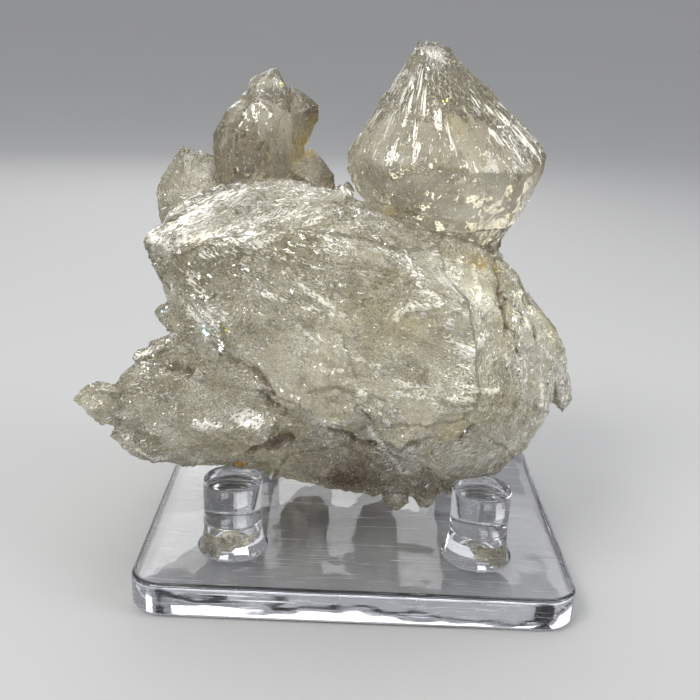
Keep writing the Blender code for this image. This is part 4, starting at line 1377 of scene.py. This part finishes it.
# Half of the outline, as pairs of a distance from the axis and a height over the foot.
PEG_PROFILE = [
    (0.0, 16.4), (5.75, 16.4), (6.10, 16.33), (6.28, 16.15), (6.35, 15.85),
    (6.35, 7.55), (6.27, 7.42), (6.12, 7.3), (6.12, 7.1), (6.27, 6.98), (6.35, 6.85),
    (6.35, 5.2), (6.40, 4.3), (6.50, 3.4), (6.68, 2.5), (6.95, 1.7), (7.30, 1.0),
    (7.60, 0.6), (7.70, 0.35), (7.62, 0.1), (7.40, 0.0), (0.0, 0.0),
]
PEG_STEPS, PEG_SMOOTH = 72, 35
PEG_MERGE = 0.000005


def spin_outline(obj, middle, steps, merge_distance, inside):
    """Spins the open outline of obj about the upright axis through middle into a closed skin."""
    pick_only(obj)
    bpy.ops.object.mode_set(mode="EDIT")
    bpy.ops.mesh.select_all(action="SELECT")
    bpy.ops.mesh.spin(steps=steps, angle=math.tau, center=middle, axis=(0, 0, 1))
    bpy.ops.mesh.select_all(action="SELECT")
    bpy.ops.mesh.remove_doubles(threshold=merge_distance)
    bpy.ops.mesh.normals_make_consistent(inside=inside)
    bpy.ops.object.mode_set(mode="OBJECT")


def drawn_outline(name, outline):
    """An open line through the points of the outline, given in metres."""
    mesh = bpy.data.meshes.new(name)
    mesh.from_pydata(outline, [(i, i + 1) for i in range(len(outline) - 1)], [])
    obj = bpy.data.objects.new(name, mesh)
    bpy.context.scene.collection.objects.link(obj)
    return obj


foot_middle = (*PEG_PLACES["front_left"], PEG_BASE)
half_outline = [
    (foot_middle[0] * MM + r * MM, foot_middle[1] * MM, (foot_middle[2] + h) * MM) for r, h in PEG_PROFILE
]
first_peg = drawn_outline("front_left_rod", half_outline)
spin_outline(first_peg, Vector(foot_middle) * MM, PEG_STEPS, PEG_MERGE, inside=False)
bpy.ops.object.shade_smooth_by_angle(angle=math.radians(PEG_SMOOTH))
pegs = {"front_left": first_peg}
for name, (x, y) in PEG_PLACES.items():
    if name in pegs:
        continue
    rod = bpy.data.objects.new(f"{name}_rod", first_peg.data.copy())
    bpy.context.scene.collection.objects.link(rod)
    shift = np.array([x, y, 0.0]) - np.array([*PEG_PLACES["front_left"], 0.0])
    set_points(rod, points_of(rod) + shift)
    pegs[name] = rod
print("pegs:", len(pegs), "of", len(first_peg.data.polygons), "faces each")

# %% [markdown]
# ## The finish of the stand
# Clear acrylic bends light a little less than quartz does. Handling leaves fine scratches, dust and
# a faint haze on the plate, which show where they catch the light. Two noises stretched along
# different ways give the scratches.

# %% Acrylic material
ACRYLIC_IOR = 1.49
# The scale, detail and roughness of each noise.
SCRATCH_NOISE, HAZE_NOISE = (1.0, 2.0, 0.5), (0.12, 4.0, 0.6)
SPECK_NOISE, SWELL_NOISE = (1.6, 2.0, 0.5), (0.05, 2.0, 0.5)
# The turn and stretch of each set of scratches, and the noise above which one shows.
SCRATCHES = [
    ((0.0, 0.0, 0.6), (0.05, 2.2, 2.2), (0.66, 0.70)),
    ((0.0, 0.0, -0.9), (0.04, 2.6, 2.6), (0.67, 0.71)),
]
HAZE_EDGES, SPECK_EDGES = (0.4, 0.75), (0.70, 0.76)
SCRATCH_WEAR, HAZE_WEAR, SPECK_WEAR = 0.30, 0.05, 0.3
ACRYLIC_TINT, WORN_TINT = (0.965, 0.97, 0.985, 1.0), (0.95, 0.95, 0.96, 1.0)
POLISHED_ROUGH, WEAR_VEIL = 0.015, 0.35
SWELL_HEIGHT, SWELL_STRENGTH = 0.0006, 0.25
ACRYLIC_ABSORBS, ACRYLIC_DENSITY = (0.80, 0.83, 0.95, 1.0), 6.0

clear = Nodes("acrylic")
place = clear.place()
scratch_sets = []
for turn, stretch, edges in SCRATCHES:
    scratch = clear.noise(clear.stretch(place, turn, stretch), *SCRATCH_NOISE)
    scratch_sets.append(clear.ramp(scratch, *edges))
scratches = clear.larger(*scratch_sets)
haze = clear.ramp(clear.noise(place, *HAZE_NOISE), *HAZE_EDGES)
specks = clear.ramp(clear.noise(place, *SPECK_NOISE), *SPECK_EDGES)
wear = clear.plus(clear.times(scratches, SCRATCH_WEAR), clear.times(haze, HAZE_WEAR))
wear = clear.plus(wear, clear.times(specks, SPECK_WEAR), clamp=True)
clear.set("Base Color", clear.mix(wear, ACRYLIC_TINT, WORN_TINT))
clear.set("Roughness", clear.plus(POLISHED_ROUGH, wear, clamp=True))
clear.set("Transmission Weight", clear.less_by(WEAR_VEIL, wear))
clear.set("IOR", ACRYLIC_IOR)
clear.set("Normal", clear.bump(clear.noise(place, *SWELL_NOISE), SWELL_HEIGHT, SWELL_STRENGTH))
clear.absorb(ACRYLIC_ABSORBS, ACRYLIC_DENSITY)
for obj in (plate, *pegs.values()):
    obj.data.materials.clear()
    obj.data.materials.append(clear.material)
    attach(obj, "root")
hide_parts("base_plate")
for name, rod in pegs.items():
    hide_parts(f"{name}_peg")
print("acrylic material:", len(clear.tree.nodes), "nodes on", 1 + len(pegs), "pieces")

# %% [markdown]
# ## The floor
# A plain pale floor that lies a hair below the plate and rises in a smooth curve all round, so that
# it is its own backdrop. Light has to reach the inside of clear stone, so it is bright all round.

# %% Floor
# The outline from the middle outwards, as pairs of a distance and a height in metres.
FLOOR_PROFILE = [
    (0.0, 0.0), (0.9, 0.0), (1.2, 0.02), (1.5, 0.08), (1.75, 0.2), (1.92, 0.4), (2.0, 0.65), (2.0, 1.1),
]
FLOOR_DROP = -0.15
FLOOR_STEPS, FLOOR_MERGE = 96, 0.0001
FLOOR_TINT, FLOOR_ROUGH = (0.44, 0.44, 0.438, 1.0), 0.8

floor = drawn_outline("floor", [(r, 0, h + FLOOR_DROP * MM) for r, h in FLOOR_PROFILE])
spin_outline(floor, (0, 0, 0), FLOOR_STEPS, FLOOR_MERGE, inside=True)
bpy.ops.object.shade_smooth()
ground = Nodes("floor")
ground.set("Base Color", FLOOR_TINT)
ground.set("Roughness", FLOOR_ROUGH)
floor.data.materials.append(ground.material)
print("floor of", len(floor.data.polygons), "faces")

# %% [markdown]
# ## Hang the lights
# The panels of the table above are hung now, each turned to the middle of the stone, in a room of
# even, faintly blue light. Many bounces would only slow the picture down, so their number is set to
# what a crystal needs: in through one skin, round the flakes, and out through another.

# %% Lights
ROOM_TINT, ROOM_POWER = (0.78, 0.79, 0.82, 1.0), 1.0
MOST_BOUNCES, CLEAR_BOUNCES, GLOSSY_BOUNCES, PLAIN_BOUNCES = 8, 7, 6, 2
MOST_STRAY_LIGHT, GLOSS_BLUR = 6.0, 0.5

world = bpy.data.worlds.new("room")
bpy.context.scene.world = world
world.use_nodes = True
world.node_tree.nodes["Background"].inputs["Color"].default_value = ROOM_TINT
world.node_tree.nodes["Background"].inputs["Strength"].default_value = ROOM_POWER
for name, (spot, size, power, tint) in LIGHTS.items():
    panel = bpy.data.lights.new(name, "AREA")
    panel.shape = "RECTANGLE"
    panel.size, panel.size_y = size
    panel.energy = power
    panel.color = tint
    lamp = bpy.data.objects.new(name, panel)
    bpy.context.scene.collection.objects.link(lamp)
    lamp.location = spot
    lamp.rotation_mode = "QUATERNION"
    lamp.rotation_quaternion = (AIM - Vector(spot)).to_track_quat("-Z", "Y")

light_paths = bpy.context.scene.cycles
light_paths.max_bounces = MOST_BOUNCES
light_paths.transmission_bounces = CLEAR_BOUNCES
light_paths.glossy_bounces = GLOSSY_BOUNCES
light_paths.diffuse_bounces = PLAIN_BOUNCES
light_paths.use_light_tree = False
light_paths.sample_clamp_indirect = MOST_STRAY_LIGHT
light_paths.blur_glossy = GLOSS_BLUR
bpy.context.scene.view_settings.view_transform = "Standard"
print("lights:", len(LIGHTS), "with", sum(row[2] for row in LIGHTS.values()), "watts in all")

# %% [markdown]
# ## Finish
# The stone, its flakes, the orange grain, the stand, the floor and the lights are all in place.
